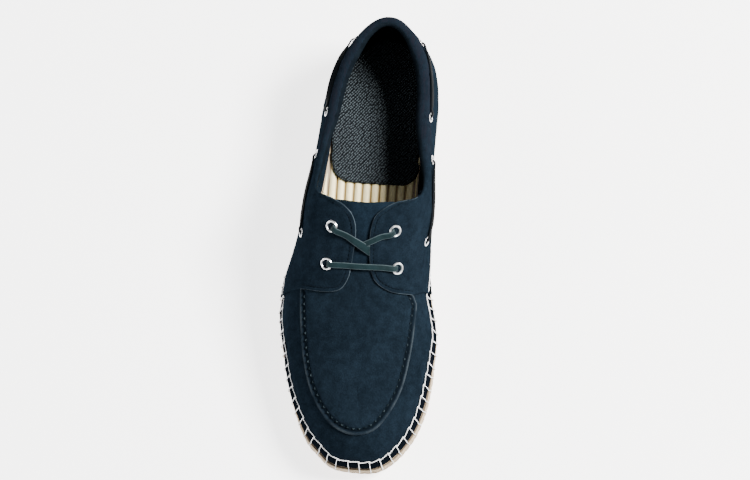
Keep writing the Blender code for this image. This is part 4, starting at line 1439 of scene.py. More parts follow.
    def build_quarters(self, finish: bpy.types.Material, lining: bpy.types.Material) -> bpy.types.Object:
        """Both quarters in one: flaps in front, padded collar behind."""
        top, first, last = self.quarter_top()
        left = np.concatenate((self.edges["lateral_seam"], self.edges["lateral_flap"][1:first + 1]))
        right = np.concatenate((self.edges["medial_seam"], self.edges["medial_flap"][1:last + 1]))
        bounds = EdgeFinder(self.last, (left, right, top), Layer.QUARTER)

        def thickness(points: Array) -> Array:
            """Thin at the flaps, thick where the collar is padded."""
            y, z = points[..., 1], points[..., 2]
            pad = 1.8 + self.padding * self.padded(points)
            collar = 3.4 + pad * ease((z - topline(y) + 26.0) / 18.0, 0.0, 1.0) * ease(y, 174, 190)
            return THIN + (collar - THIN) * ease(y, 160.0, 182.0)

        def rounding(points: Array) -> Array:
            """Sharp at the flaps, round along the collar."""
            return 0.6 + 2.1 * ease(points[..., 1], 160.0, 186.0) + 1.5 * self.padded(points)

        def relief(points: Array) -> Array:
            """The upper's own relief, the flaps' stitched edge, the collar's band and the heel's seam."""
            away = bounds.distance(points)
            flap = 1.0 - ease(points[..., 1], 168.0, 180.0)
            collar = 1.0 - flap
            lip = 0.12 * bell(away, 0.8, 0.7) * flap
            row = -0.32 * bell(away, 2.7, 0.5) * flap
            band = -0.45 * bell(away, 9.4, 0.6) * collar + 0.3 * bell(away, 5.0, 3.4) * collar
            heel = -0.4 * bell(points[..., 1], 252.5, 0.55) * ease(12.0 - away, 0.0, 3.0)
            return self.relief(points) + lip + row + band + heel

        panel = Panel(
            self.last, "quarters",
            low=line_to((left[0, 0], 0.0), (right[0, 0], 0.0), 600), high=top, left=left, right=right,
            outer=Layer.QUARTER, thickness=thickness, columns=560, rows=78, rounding=rounding, relief=relief)
        seams = [self.edges["lateral_seam"], self.edges["medial_seam"]]
        flaps = [self.edges["lateral_flap"][:first + 1], self.edges["medial_flap"][:last + 1]]
        made = dress(panel.build([panel.high, *flaps], seams), finish, Slot.SUEDE, "upper")
        self.line_inside(made, lining)
        return made

    def line_inside(self, piece: bpy.types.Object, lining: bpy.types.Material) -> None:
        """Puts the lining on the faces that look into the shoe."""
        piece.data.materials.append(lining)
        mesh = piece.data
        marks = np.zeros(len(mesh.vertices), np.float32)
        mesh.attributes["lining"].data.foreach_get("value", marks)
        inside = [min(marks[k] for k in face.vertices) > 0.9 for face in mesh.polygons]
        mesh.polygons.foreach_set("material_index", np.array(inside, np.int32))
        mesh.update()

    def build(self) -> None:
        """Makes every panel."""
        suede, lining = NAVY.make(), LINING.make()
        for piece in (self.build_vamp(suede), self.build_apron(APRON_NAVY.make())):
            self.line_inside(piece, lining)
        self.build_quarters(suede, lining)
        self.build_tongue()

    def build_tongue(self) -> bpy.types.Object:
        """Tongue: a thin sheet between the last and the flaps."""
        edge = through(TONGUE_EDGE)
        skin = self.skins[Layer.TONGUE]
        half = int(np.argmax(edge[:, 1] * (edge[:, 0] < -10)))
        other = int(np.argmax(edge[:, 1] * (edge[:, 0] > 5)))
        rows, columns, spacing, clearance = 70, 84, 0.55, 0.35
        a, w = np.linspace(0.0, 1.0, columns), np.linspace(0.0, 1.0, rows)
        left, right = resample(edge[:half + 1], w), resample(edge[other:][::-1], w)
        back = resample(edge[half:other + 1], a)
        plan = patch(line_to(left[0], right[0], columns), back, left, right, a, w)
        places = np.array([skin.below(x, y)[2] for x, y in plan.reshape(-1, 2)]).reshape(rows, columns, 2)
        s, v = places[..., 0], places[..., 1]
        face, normal = self.last.at(s, v, Layer.TONGUE)
        side = np.minimum(np.arange(columns), columns - 1 - np.arange(columns))[None, :]
        to_top = (rows - 1 - np.arange(rows))[:, None]
        end = np.minimum(np.arange(rows)[:, None], to_top)
        close = np.minimum(side, end) * spacing
        turn = self.last.read(self.last.turns, s, v)
        thick = Layer.TONGUE.offset(face[..., 1], face[..., 2], turn) - clearance
        fall = thick / 2.0 * fillet(close, 0.9)
        outer = face + normal * (undulation(face * 1.3) * ease(close, 0.0, 2.0) - fall)[..., None]
        inner = face + normal * (fall - thick)[..., None]
        edge_mark = np.broadcast_to(to_top * spacing, close.shape)
        marks = {"edge": np.concatenate((edge_mark, np.full_like(close, FAR)))}
        thing = net_piece("tongue_sheet", np.concatenate((outer, inner[::-1])), marks)
        return dress(thing, TONGUE_NAVY.make(), Slot.TONGUE, "tongue")


# ---------------------------------------------------------------- sole
@dataclass
class Sole:
    """Rope sole, rubber tread and heel sock.

    Attributes:
        braid_rows: rows of braid up the side.
        strand: distance between strands along a row.
        rib: distance between the ropes of the footbed.
        shift: sideways shift of the ropes.
        twist: distance between the strands along a rope.
        sunk: depth of the footbed's underside below the seat.
        groove: depth of the tread's waves.
        sock: thickness of the heel sock.
        heart: place in plan that the tread's rings close on.
        sock_heart: place in plan that the sock's rings close on.
    """

    braid_rows: int = 3
    strand: float = 5.2
    rib: float = 5.6
    shift: float = 1.6
    twist: float = 3.4
    sunk: float = 4.0
    groove: float = 0.8
    sock: float = 1.6
    heart: tuple[float, float] = (CENTRE + 2.0, 140.0)
    sock_heart: tuple[float, float] = (-1.5, 238.0)

    def build_side(self, finish: bpy.types.Material) -> bpy.types.Object:
        """Side of the rope sole: rows of braid, each with strands that slant to its middle."""
        columns, rows = 1500, 41
        s = self.even_angles(columns)
        run = lengths(outline(s))
        share = np.linspace(0.0, 1.0, rows)[:, None]
        spot = share * self.braid_rows
        middle = np.abs(np.mod(spot, 1.0) - 0.5) * 2.0
        bulge = np.sqrt(np.clip(1.0 - middle**2.4, 0.0, 1.0))
        count = round(run[-1] / self.strand)
        phase = run / run[-1] * count + np.where(np.mod(np.floor(spot), 2) > 0, 0.5, 0.0)
        slant = middle * 0.575
        lay = np.abs(np.cos(math.pi * (phase + slant))) ** 0.55
        wobble = 0.072 * np.sin(run / 3.1 + spot * 5.0) + 0.06 * np.sin(run / 7.7 - spot * 9.0)
        edge = outline(s)
        out = -0.9 + 1.3 * bulge * (0.52 + 0.48 * lay) + wobble - 0.55 * covered(edge[:, 1], s > math.pi)
        low = ground_line(edge[:, 1]) + TREAD + GAP
        high = seat_height(edge[:, 1]) - GAP
        side = raised(edge + (outline(s, -1.0) - edge) * out[..., None], low + (high - low) * share)
        inner = outline(s, 9.0)
        under, over = raised(inner, low)[None], raised(inner, high - 1.8)[None]
        lip = raised(outline(s, 2.2), high - 0.1)[None]
        net = np.concatenate((under, side, lip, over, under))
        proud = np.concatenate((np.zeros((1, columns)), bulge * (0.35 + 0.65 * lay),
                                np.full((1, columns), 0.8), np.zeros((2, columns))))
        ground = np.concatenate((np.ones((1, columns)), np.broadcast_to(1.0 - share / 0.42, (rows, columns)),
                                 np.zeros((3, columns))))
        tall = np.concatenate(([0.0], np.linspace(0, 13, rows), [16, 24, 30]))[:, None]
        uv = np.stack((run * 0.55 + tall, tall - run * 0.75), axis=-1)
        marks = {"proud": proud, "low": np.clip(ground, 0.0, 1.0)}
        thing = net_piece("jute_side", net, marks, uv)
        return dress(thing, finish, Slot.JUTE, "jute_midsole")

    def even_angles(self, count: int) -> Array:
        """Angles round the sole that are evenly spaced along its edge, the last one back at the toe."""
        s = np.linspace(0.0, TAU, 4001)
        along = lengths(outline(s))
        return np.interp(np.linspace(0.0, along[-1], count), along, s)

    def build_footbed(self, finish: bpy.types.Material) -> bpy.types.Object:
        """Top of the rope sole inside the shoe: ropes that lie side by side along the foot."""
        turn = lateral_angle(np.concatenate((np.linspace(60.0, 138.0, 18), np.linspace(140.0, 236.0, 82))))
        lateral, medial = outline(turn, 4.6), outline(TAU - turn, 4.6)
        plan = lateral[:, None] + (medial - lateral)[:, None] * np.linspace(0.0, 1.0, 280)[None, :, None]
        y = plan[..., 1]
        x = plan[..., 0] + 0.22 * np.sin(y / 9.0)
        spot = x + self.shift
        lay = np.abs(np.cos(math.pi * spot / self.rib)) ** 0.85
        twist = 0.5 + 0.5 * np.sin((y + np.mod(spot + self.rib / 2, self.rib) * 0.9) * TAU / self.twist)
        upper = raised(plan, seat_height(y) - GAP - 1.9 + 1.8 * lay + 0.1 * twist * lay)
        lower = raised(plan, seat_height(y) - self.sunk)
        for edge in (upper[0], upper[-1], upper[:, 0], upper[:, -1]):
            edge[:, 2] = seat_height(edge[:, 1]) - self.sunk
        proud = np.concatenate((lay, np.zeros_like(lay)))
        uv = np.stack((x, y), axis=-1)
        thing = net_piece("jute_footbed", np.concatenate((upper, lower[::-1])),
                          {"proud": proud, "low": np.zeros_like(proud)}, np.concatenate((uv, uv[::-1])))
        return dress(thing, finish, Slot.JUTE)

    @staticmethod
    def rings(heart: tuple[float, float], rim: Array, spokes: Array) -> Array:
        """Rings in plan at shares (a column) of the way from a heart to a rim."""
        return np.array(heart) + (rim - np.array(heart)) * spokes[..., None]

    def build_tread(self, finish: bpy.types.Material) -> bpy.types.Object:
        """Rubber under the rope, with shallow waves across its underside."""
        s = self.even_angles(700)
        spokes = np.concatenate((np.linspace(0.0, 0.9, 60), (0.93, 0.955, 0.975, 0.99)))[:, None]
        rim = outline(s, 0.9)
        plan = self.rings(self.heart, rim, spokes)
        y = plan[..., 1]
        wave = np.sin((y + 2.2 * np.sin(plan[..., 0] / 3.6)) * TAU / 5.6)
        inside = ease(0.93 - spokes, 0.0, 0.05)
        z = ground_line(y) + self.groove * (ease(wave, 0.2, 0.6) * inside + ease(spokes, 0.965, 1.0))
        wall = [raised(outline(s, inset), ground_line(rim[:, 1]) + height)[None]
                for inset, height in ((1.0, 0.45), (0.9, 1.0), (0.85, 1.8), (0.9, 3.3), (1.3, TREAD))]
        lid = self.rings(self.heart, outline(s, 1.3), np.array(((0.5,), (0.0,))))
        lid = raised(lid, ground_line(lid[..., 1]) + TREAD)
        thing = net_piece("rubber_tread", np.concatenate((raised(plan, z), *wall, lid)))
        return dress(thing, finish, Slot.RUBBER, "outsole")

    def build_sock(self, finish: bpy.types.Material) -> bpy.types.Object:
        """Leather heel sock on the ropes, with a soft edge."""
        front = through(SOCK_LINE, 16)
        s = np.linspace(lateral_angle(SOCK_LINE[0][1]), TAU - lateral_angle(SOCK_LINE[-1][1]), 300)
        side = outline(s, 6.0 - 2.3 * ease(from_toe(s), 206.0, 222.0))
        loop = evenly(np.concatenate((front, side[::-1], front[:1])), 0.55)
        spokes = np.concatenate((np.linspace(0.0, 0.8, 16), np.linspace(0.82, 0.955, 14),
                                 (0.965, 0.975, 0.984, 0.991, 0.996, 1.0)))
        plan = self.rings(self.sock_heart, loop, spokes[:, None])
        away = np.linalg.norm(loop - plan, axis=-1)
        y = plan[..., 1]
        curl = 0.35 * bell(away, 2.0, 2.4) + 0.25 * np.sin(plan[..., 0] / 7.0) * np.sin(y / 9.0)
        z = seat_height(y) + self.sock + curl * ease(away, 0.0, 2.0) - self.sock / 2.0 * fillet(away, 1.0)
        foot = raised(loop, seat_height(loop[:, 1]))[None]
        under = np.broadcast_to((*self.sock_heart, float(seat_height(self.sock_heart[1]))), foot.shape)
        thing = net_piece("heel_sock", np.concatenate((raised(plan, z), foot, under)))
        return dress(thing, finish, Slot.SOCK, "insole")

    def build(self) -> None:
        """Makes the sole's pieces."""
        jute = JUTE.make()
        self.build_side(jute)
        self.build_footbed(FOOTBED.make())
        self.build_tread(GUM.make())
        self.build_sock(SOCK_BLACK.make())


# ---------------------------------------------------------------- eyelets and laces
@dataclass(frozen=True)
class Ring:
    """Sizes of an eyelet.

    Attributes:
        flange: outer radius.
        hole: inner radius.
        barrel: radius of the part in the leather.
        depth: depth of that part.
        rise: height over its seat.
    """

    flange: float
    hole: float
    barrel: float
    depth: float
    rise: float


LACE_RING = Ring(flange=3.95, hole=2.6, barrel=3.1, depth=1.6, rise=0.85)
SIDE_RING = Ring(flange=2.95, hole=2.15, barrel=2.4, depth=1.6, rise=0.4)
# Height of an eyelet's flange over the face that its place is found on.
SEAT_GAP = 0.3
# Node and plan position of each lace eyelet.
EYELETS = (
    ("eyelet_front_lateral", -27.3, 121.4), ("eyelet_rear_lateral", -25.1, 143.4),
    ("eyelet_front_medial", 17.4, 121.6), ("eyelet_rear_medial", 14.8, 143.0),
)
# y, then height on the lateral and on the medial side of each side eyelet.
SIDE_EYELETS = ((145, 58.0, 54.0), (197, 61.0, 62.0), (226, 58.5, 59.0), (273, 69.0, 69.0))
SIDES = (("lateral", -1.0), ("medial", 1.0))
# Side, stretch, first eyelet, height of the middle over the leather, and radians that it leans out there.
SIDE_RUNS = (
    ("lateral", "front", 1, 0.85, 0.25), ("lateral", "rear", 3, 1.5, 0.75),
    ("medial", "front", 1, 0.85, 0.25), ("medial", "rear", 3, 0.9, 0.0),
)
# A lace's way out of an eyelet: distance from the hole's axis and height over the leather, in turn.
LACE_EXIT = ((0.1, -2.4), (0.3, -1.2), (0.6, 0.1), (1.0, 1.25), (1.9, 2.15), (3.2, 2.45), (4.8, 2.3))
SIDE_EXIT = ((0.05, -2.0), (0.1, -0.9), (0.2, 0.0), (0.6, 0.85), (1.6, 1.4), (3.2, 1.45), (5.2, 1.1))
# Eyelet and end in plan of each rear lace, then share of the way, height over the leather and width, in turn.
CROSSING = (
    ("eyelet_rear_lateral", (1.0, 128.6), (
        (0.36, 1.35, 3.9), (0.55, 1.2, 4.5), (0.75, 0.3, 5.2), (0.92, -0.6, 5.6), (1.0, -1.2, 5.6))),
    ("eyelet_rear_medial", (-5.6, 132.2), (
        (0.4, 1.2, 3.8), (0.62, 1.0, 3.8), (0.76, 0.75, 3.8), (0.9, -0.4, 3.8), (1.0, -1.3, 3.8))),
)
# A lace's point, its direction across and its width.
LacePoint = tuple[Array, Array, float]


@dataclass
class Seat:
    """Where an eyelet sits.

    Attributes:
        ring: its sizes.
        point: place on the leather.
        normal: direction away from the leather.
    """

    ring: Ring
    point: Array
    normal: Array


@dataclass
class Lacing:
    """Eyelets, the front bar, the two rear laces and the side laces.

    Attributes:
        skin: outer face of the quarters.
        width: width of the front laces.
        thickness: thickness of every lace.
        side_width: width of the side laces.
        side_lift: height of their middle line over the leather beside an eyelet.
        seats: every eyelet's seat, by the name of its node.
    """

    skin: Skin
    width: float = 3.8
    thickness: float = 1.1
    side_width: float = 4.4
    side_lift: float = 0.85
    seats: dict[str, Seat] = field(default_factory=dict)

    def __post_init__(self) -> None:
        """Finds the seat of every eyelet."""
        for name, x, y in EYELETS:
            point, normal, _ = self.skin.below(x, y)
            self.seats[name] = Seat(LACE_RING, point, normal)
        for label, side in SIDES:
            for number, (y, *heights) in enumerate(SIDE_EYELETS, 1):
                height = heights[int(side > 0)]
                point, normal = self.skin.beside(side, y, height)
                self.seats[f"side_eyelet_{label}_{number}"] = Seat(SIDE_RING, point, normal)

    def out_of_eyelet(self, seat: Seat, target: Array, rows: Sequence[tuple[float, float]],
                      width: float) -> list[LacePoint]:
        """Start of a lace: up through an eyelet and over its rim towards a target.

        Args:
            seat: the eyelet.
            target: point that the lace heads for.
            rows: distance from the hole's axis and height over the leather, in turn.
            width: full width of the lace.

        Returns:
            The lace's points.
        """
        heading = target - seat.point
        flat = unit(heading - seat.normal * (heading @ seat.normal))
        across = np.cross(flat, seat.normal)
        narrow = min(width, 2.0 * seat.ring.hole - 1.3)
        clear = seat.ring.rise + SEAT_GAP + GAP + self.thickness / 2.0
        return [(seat.point + flat * reach + seat.normal * lift, across, narrow if lift < clear else width)
                for reach, lift in rows]

    def over_skin(self, start: Array, stop: Array, share: float, lift: float, drift: float = 0.0,
                  width: float = 0.0) -> LacePoint:
        """Lace point part of the way between two plan positions, lift above the quarters' face."""
        x, y = start + (stop - start) * share
        point, normal, _ = self.skin.below(x, y + drift)
        across = unit(np.cross(np.append(stop - start, 0.0), normal))
        return point + normal * lift, across, width or self.width

    @staticmethod
    def reverse(path: list[LacePoint]) -> list[LacePoint]:
        """Path walked the other way, with its width direction kept on the same side."""
        return [(point, -across, width) for point, across, width in path[::-1]]

    def strap(self, name: str, path: list[LacePoint]) -> bpy.types.Object:
        """Flat leather lace along a path."""
        points = through([spot[0] for spot in path], 9)
        across = unit(through([spot[1] for spot in path], 9))
        width = through([(spot[2], 0.0) for spot in path], 9)[:, 0]
        forward = directions(points)
        across = unit(across - forward * np.sum(across * forward, axis=1, keepdims=True))
        up = np.cross(across, forward)
        up *= np.where(up[:, 2:] < 0, -1.0, 1.0) if abs(up[:, 2].mean()) > 0.3 else 1.0
        base = flat_section(1.0, self.thickness, 28)
        section = np.broadcast_to(base, (len(points), *base.shape)).copy()
        section[..., 0] *= width[:, None]
        section[..., 1] *= 1.0 + 0.05 * np.sin(lengths(points) * 1.3)[:, None]
        net = swept_net(points, across, up, section, ends=0.4)
        rim = 0.5 - np.abs(np.append(base[:, 0], base[0, 0]))
        return net_piece(name, net, {"edge": rim * np.pad(width, 3, mode="edge")[:, None]})

    def build(self) -> None:
        """Makes eyelets and laces."""
        nickel, lace, side_lace = NICKEL.make(), LACE_TEAL.make(), SIDE_NAVY.make()
        for name, seat in self.seats.items():
            dress(self.build_ring(name.replace("eyelet", "ring"), seat), nickel, Slot.METAL, name)
        self.build_bar(lace)
        self.build_crossing(lace)
        self.build_side_laces(side_lace)

    def build_ring(self, name: str, seat: Seat) -> bpy.types.Object:
        """Spun ring in its place."""
        ring = seat.ring
        top, mid = ring.rise, (ring.flange + ring.hole) / 2.0
        section = through((
            (ring.hole, -ring.depth), (ring.hole, 0.0), (ring.hole + 0.12, top * 0.55),
            (ring.hole + 0.45, top * 0.9), (mid, top), (ring.flange - 0.5, top * 0.8),
            (ring.flange - 0.08, top * 0.34), (ring.flange, 0.02), (ring.flange - 0.25, -0.12),
            (ring.barrel, -0.1), (ring.barrel, -ring.depth), (ring.hole, -ring.depth)), 3)
        deselect()
        bpy.ops.mesh.primitive_circle_add(vertices=len(section) - 1, radius=0.001, fill_type="NOTHING")
        thing = bpy.context.object
        thing.name = thing.data.name = name
        flat = np.zeros((len(section) - 1, 3))
        flat[:, 0], flat[:, 2] = section[:-1, 0], section[:-1, 1]
        thing.data.vertices.foreach_set("co", (flat * MM).astype(np.float32).ravel())
        edit(thing,
             lambda: bpy.ops.mesh.spin(steps=44, angle=TAU, center=(0, 0, 0), axis=(0, 0, 1)),
             lambda: bpy.ops.mesh.select_all(action="SELECT"),
             lambda: bpy.ops.mesh.remove_doubles(threshold=0.000002),
             lambda: bpy.ops.mesh.normals_make_consistent(inside=False))
        bpy.ops.object.shade_smooth()
        turn = Vector(seat.normal).to_track_quat("Z", "Y").to_matrix().to_4x4()
        turn.translation = Vector(world(seat.point + seat.normal * SEAT_GAP))
        thing.data.transform(turn)
        return thing

    def build_bar(self, finish: bpy.types.Material) -> None:
        """The lace straight across between the front eyelets."""
        left, right = self.seats["eyelet_front_lateral"], self.seats["eyelet_front_medial"]
        path = self.out_of_eyelet(left, right.point, LACE_EXIT, self.width)
        for share, lift in ((0.25, 1.5), (0.42, 1.1), (0.6, 1.1), (0.77, 1.5)):
            sag = 1.2 * math.sin(math.pi * share)
            path.append(self.over_skin(left.point[:2], right.point[:2], share, lift, -sag))
        path += self.reverse(self.out_of_eyelet(right, left.point, LACE_EXIT, self.width))
        dress(self.strap("lace_across", path), finish, Slot.LACE, "lace_bar")

    def build_crossing(self, finish: bpy.types.Material) -> None:
        """The two rear laces, one over the other in the throat."""
        arms = []
        for name, stop, rows in CROSSING:
            seat = self.seats[name]
            target, _, _ = self.skin.below(*stop)
            path = self.out_of_eyelet(seat, target, LACE_EXIT, self.width)
            path += [self.over_skin(seat.point[:2], np.array(stop), share, lift, 0.0, width)
                     for share, lift, width in rows]
            arms.append(self.strap(name.replace("eyelet", "lace"), path))
        dress(join("laces_crossing", arms), finish, Slot.LACE, "lace_crossing")

    def build_side_laces(self, finish: bpy.types.Material) -> None:
        """The stretches of side lace that show between the side eyelets."""
        for label, part, first, belly, lean in SIDE_RUNS:
            side = dict(SIDES)[label]
            start, stop = (self.seats[f"side_eyelet_{label}_{first + k}"] for k in (0, 1))
            path = self.out_of_eyelet(start, stop.point, SIDE_EXIT, self.side_width)
            near, far = SIDE_EYELETS[first - 1], SIDE_EYELETS[first]
            for share in (0.25, 0.5, 0.75):
                y, z = (near[c] + (far[c] - near[c]) * share for c in (0, 1 + int(side > 0)))
                point, normal = self.skin.beside(side, y, z)
                bow = math.sin(math.pi * share)
                across = unit(np.cross(stop.point - start.point, normal))
                outward = -normal if across[2] > 0 else normal
                across = across * math.cos(lean * bow) + outward * math.sin(lean * bow)
                lift = self.side_lift + (belly - self.side_lift) * bow
                path.append((point + normal * lift, across, self.side_width))
            path += self.reverse(self.out_of_eyelet(stop, start.point, SIDE_EXIT, self.side_width))
            strap = self.strap(f"side_strap_{label}_{part}", path)
            dress(strap, finish, Slot.SIDE_LACE, f"side_lace_{label}_{part}")


# ---------------------------------------------------------------- stitches
@dataclass(frozen=True)
class Row:
    """Sizes of a row of fine stitches.

    Attributes:
        inside: distance of the row from the edge that it follows.
        pitch: distance from one stitch to the next.
        lift: height of the thread over the leather.
        length: length of a stitch.
        radius: radius of its thread.
    """

    inside: float
    pitch: float
    lift: float
    length: float
    radius: float


APRON_ROW = Row(inside=4.4, pitch=4.7, lift=0.12, length=1.4, radius=0.42)
FLAP_ROW = Row(inside=2.7, pitch=2.6, lift=-0.05, length=1.9, radius=0.22)


@dataclass
class Stitching:
    """White blanket stitch round the sole and the fine rows on the upper.

    Attributes:
        upper: the upper, whose edges the rows follow.
        bars: stitches round the sole.
        thread: radius of the white thread.
        climb: how far over the pressed line the bars start.
        lay: length of the running thread to a turn of its twist.
    """

    upper: Upper
    bars: int = BARS
    thread: float = 0.33
    climb: float = 0.6
    lay: float = 3.6

    def wall(self, s: Array, v: Array) -> tuple[Array, Array]:
        """Outermost leather low on the side: the quarters behind the seams, the vamp before them."""
        vamp, normal = self.upper.last.at(s, v, Layer.VAMP)
        quarter, _ = self.upper.last.at(s, v, Layer.QUARTER)
        behind = self.behind_seam(s)
        return vamp + (quarter - vamp) * behind[..., None], normal

    def behind_seam(self, s: Array) -> Array:
        """1 behind the front seams and 0 before them."""
        first = self.upper.edges["lateral_seam"][5, 0]
        last = self.upper.edges["medial_seam"][5, 0]
        around = np.mod(s, TAU)
        return ease(around, first - 0.01, first + 0.012) * (1.0 - ease(around, last - 0.012, last + 0.01))

    def climbed(self, s: Array, climb: Array) -> Array:
        """Shares up the side that stand a climb above the seat."""
        v = np.linspace(0.0, 0.45, 90)
        found = []
        for angle, height in zip(s, climb):
            points, _ = self.upper.last.at(np.full_like(v, angle), v, Layer.VAMP)
            rise = points[:, 2] - seat_height(points[:, 1])
            found.append(np.interp(height, rise, v))
        return np.array(found)

    def thread_climb(self, s: Array | float) -> Array:
        """Height over the seat at which the bars start."""
        return self.upper.stitch_climb(from_toe(s), s > math.pi) + self.climb

    def build_blanket(self, finish: bpy.types.Material) -> None:
        """Running thread on the wall, and a bar from it over the rope's edge at every stitch."""
        s = Sole().even_angles(1760)[:-1]
        share = np.arange(len(s)) / len(s) * self.bars
        tooth = np.mod(share, 1.0)
        dip = (1.1 + 0.5 * ease(s, 0.5, 1.0)) * (tooth ** 1.2) * (1.0 - ease(tooth, 0.86, 1.0))
        climb = self.thread_climb(s) - dip + 0.12 * np.sin(share * 2.7)
        points, normals = self.wall(s, self.climbed(s, climb))
        points = points + normals * 0.2
        points, normals = np.concatenate((points, points[:1])), np.concatenate((normals, normals[:1]))
        forward = directions(points)
        forward[0] = forward[-1] = unit(points[1] - points[-2])
        across = unit(np.cross(normals, forward))
        turns = round(lengths(points)[-1] / self.lay)
        angle = np.arange(len(points)) / (len(points) - 1) * turns * TAU
        loops = turned(ring_section(self.thread, 8, 0.14), angle[:, None])
        running = net_piece("blanket_stitch_run", carried(points, across, normals, loops))
        bars = [self.build_bar(k) for k in range(self.bars)]
        dress(join("blanket_stitch", [running, *bars]), finish, Slot.SUEDE)

    def build_bar(self, number: int) -> bpy.types.Object:
        """One bar of the blanket stitch."""
        angle = Sole().even_angles(self.bars + 1)[number]
        lean = 0.006 * math.sin(number * 2.3) + 0.004
        climbs = self.thread_climb(angle) * np.array((1.0, 0.76, 0.5, 0.25, 0.05))
        s = angle - lean * (climbs[0] - climbs) / climbs[0]
        points, normals = self.wall(s, self.climbed(s, climbs))
        points = points + normals * np.array((0.2, 0.3, 0.34, 0.36, 0.4))[:, None]
        foot = s[-1:] - 0.002
        edge = outline(foot)[0]
        seat = float(seat_height(edge[1]))
        out = outline(foot, -1.0)[0] - edge
        lower = [np.append(edge + out * reach, seat - drop)
                 for reach, drop in ((0.2, 0.5), (0.65, 1.7), (0.6, 3.2), (0.1, 4.4), (-1.2, 5.0))]
        path = through(np.concatenate((points, lower)), 4)
        forward = directions(path)
        across = unit(np.cross(np.append(out, 0.25), forward))
        up = np.cross(forward, across)
        net = swept_net(path, across, up, ring_section(self.thread * 0.94, 7, 0.12), ends=0.3, twist=0.26)
        return net_piece(f"bar_{number}", net)

    def row(self, line: Array, layer: Layer, side: float, sizes: Row) -> list[Matrix]:
        """Places of the stitches of a row that follows an edge.

        Args:
            line: the edge, as places on the last.
            layer: face that the row is sewn on.
            side: 1 where the panel lies to the left of the edge's direction, -1 to the right.
            sizes: sizes of the row.

        Returns:
            One matrix for each stitch.
        """
        skin = self.upper.skins[layer]
        points, normals = self.upper.last.at(line[:, 0], line[:, 1], layer)
        total = lengths(points)[-1]
        shares = np.arange(sizes.pitch / 2, total, sizes.pitch) / total
        both = resample(np.concatenate((points, normals), axis=1), shares, points)
        points, normals = both[:, :3], unit(both[:, 3:])
        forwards = directions(points)
        spots = points + unit(np.cross(normals, forwards)) * side * sizes.inside
        places = []
        for spot, normal, forward in zip(spots, normals, forwards):
            point = np.array(skin.tree.find_nearest(Vector(spot))[0])
            normal = unit(normal - forward * (forward @ normal))
            place = Matrix(np.column_stack((forward, np.cross(normal, forward), normal)).tolist()).to_4x4()
            place.translation = Vector(world(point + normal * sizes.lift))
            places.append(place)
        return places

    def template(self, sizes: Row) -> bpy.types.Object:
        """One stitch round the origin, bent down into the leather at both ends."""
        x = np.linspace(-0.5, 0.5, 7)
        path = np.stack((x * sizes.length, 0 * x, 0.18 - 1.9 * sizes.radius * np.abs(2 * x) ** 4), axis=1)
        side = np.broadcast_to((0.0, 1.0, 0.0), path.shape)
        up = np.broadcast_to((0.0, 0.0, 1.0), path.shape)
        net = swept_net(path, side, up, ring_section(sizes.radius, 6), ends=sizes.radius * 0.6)
        return net_piece("stitch", net + np.array((CENTRE, LENGTH / 2.0, 0.0)))

    def build_rows(self, finish: bpy.types.Material) -> None:
        """Fine rows on the apron and the flaps."""
        edges = self.upper.edges
        places = self.row(edges["apron"], Layer.APRON, 1.0, APRON_ROW)
        dress(copies("apron_stitches", self.template(APRON_ROW), places), APRON_THREAD.make(), Slot.SUEDE)
        places = []
        for label, side in SIDES:
            places += self.row(edges[f"{label}_flap"], Layer.QUARTER, -side, FLAP_ROW)
        dress(copies("quarter_stitches", self.template(FLAP_ROW), places), finish, Slot.SUEDE)

    def build(self) -> None:
        """Makes all threads."""
        self.build_blanket(WHITE_THREAD.make())
        self.build_rows(NAVY_THREAD.make())


# ---------------------------------------------------------------- set
# Name, place in metres, size, watts and colour of each light.
LIGHTS = (
    ("key", (1.31, 0.35, 1.73), 0.72, 218.0, (1.0, 0.985, 0.96)),
    ("overhead", (-0.1, -0.2, 2.3), 0.9, 3.0, (0.95, 0.97, 1.0)),
    ("fill", (-1.6, -1.0, 0.9), 1.2, 33.0, (0.95, 0.97, 1.0)),
)


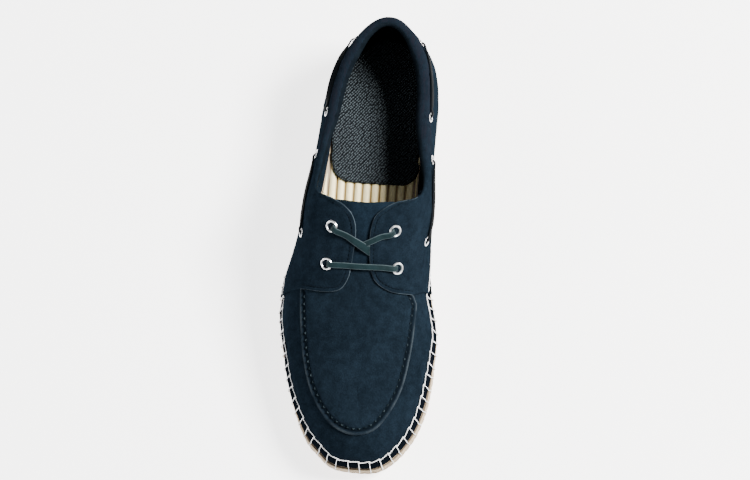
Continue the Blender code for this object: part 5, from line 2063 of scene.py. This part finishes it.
@dataclass
class Studio:
    """Floor, light and camera.

    Attributes:
        eye: the camera's place, in shoe millimetres.
        aim: the point in the middle of the view.
        up: direction that stands upright in the view.
        lens: focal length for a 36 mm wide sensor.
    """

    eye: tuple[float, float, float] = (73.7, -333.9, 1970.6)
    aim: tuple[float, float, float] = (0.5, 150.0, 30.0)
    up: tuple[float, float, float] = (-0.0575, 0.9686, 0.2419)
    lens: float = 148.3

    def build_floor(self) -> None:
        """Large pale floor."""
        deselect()
        bpy.ops.mesh.primitive_grid_add(x_subdivisions=8, y_subdivisions=8, size=6.0)
        floor = bpy.context.object
        floor.name = "floor"
        graph = Graph("pale floor")
        colour = graph.mix(graph.noise(400.0), (0.74, 0.74, 0.74), (0.77, 0.77, 0.77))
        finish = graph.finish({"Base Color": colour}, roughness=0.9, specular_ior_level=0.0,
                              emission_color=(1.0, 1.0, 1.0, 1.0), emission_strength=3.0)
        floor.data.materials.append(finish)

    def build_light(self, name: str, place: Sequence[float], size: float, power: float,
                    colour: Colour) -> None:
        """Square soft light that looks at the shoe."""
        deselect()
        bpy.ops.object.light_add(type="AREA", location=place)
        light = bpy.context.object
        light.name = name
        light.data.shape, light.data.size = "SQUARE", size
        light.data.energy, light.data.color = power, colour
        light.rotation_euler = (Vector((0, 0, 0.05)) - Vector(place)).to_track_quat("-Z", "Y").to_euler()

    def build_sky(self) -> None:
        """Even pale light from all round."""
        sky = bpy.data.worlds.new("studio")
        bpy.context.scene.world = sky
        sky.use_nodes = True
        inputs = sky.node_tree.nodes["Background"].inputs
        inputs["Color"].default_value = (1.0, 1.0, 1.0, 1.0)
        inputs["Strength"].default_value = 0.15

    def build_camera(self) -> None:
        """Camera that looks steeply down on the shoe from in front of the toe."""
        deselect()
        bpy.ops.object.camera_add()
        camera = bpy.context.object
        eye, aim = Vector(world(self.eye)), Vector(world(self.aim))
        back = (eye - aim).normalized()
        right = Vector(self.up).cross(back).normalized()
        up = back.cross(right)
        turn = Matrix((right, up, back)).transposed().to_4x4()
        turn.translation = eye
        camera.matrix_world = turn
        camera.data.sensor_width, camera.data.lens = 36.0, self.lens
        camera.data.clip_start, camera.data.clip_end = 0.1, 20.0
        bpy.context.scene.camera = camera

    def build(self) -> None:
        """Makes the set."""
        self.build_floor()
        self.build_sky()
        for light in LIGHTS:
            self.build_light(*light)
        self.build_camera()


def main() -> None:
    """Builds the shoe and its set."""
    logging.basicConfig(level=logging.INFO, format="%(message)s")
    last = Last()
    upper = Upper(last)
    upper.build()
    Sole().build()
    Lacing(upper.skins[Layer.QUARTER]).build()
    Stitching(upper).build()
    Studio().build()
    deselect()


if __name__ == "__main__":
    main()
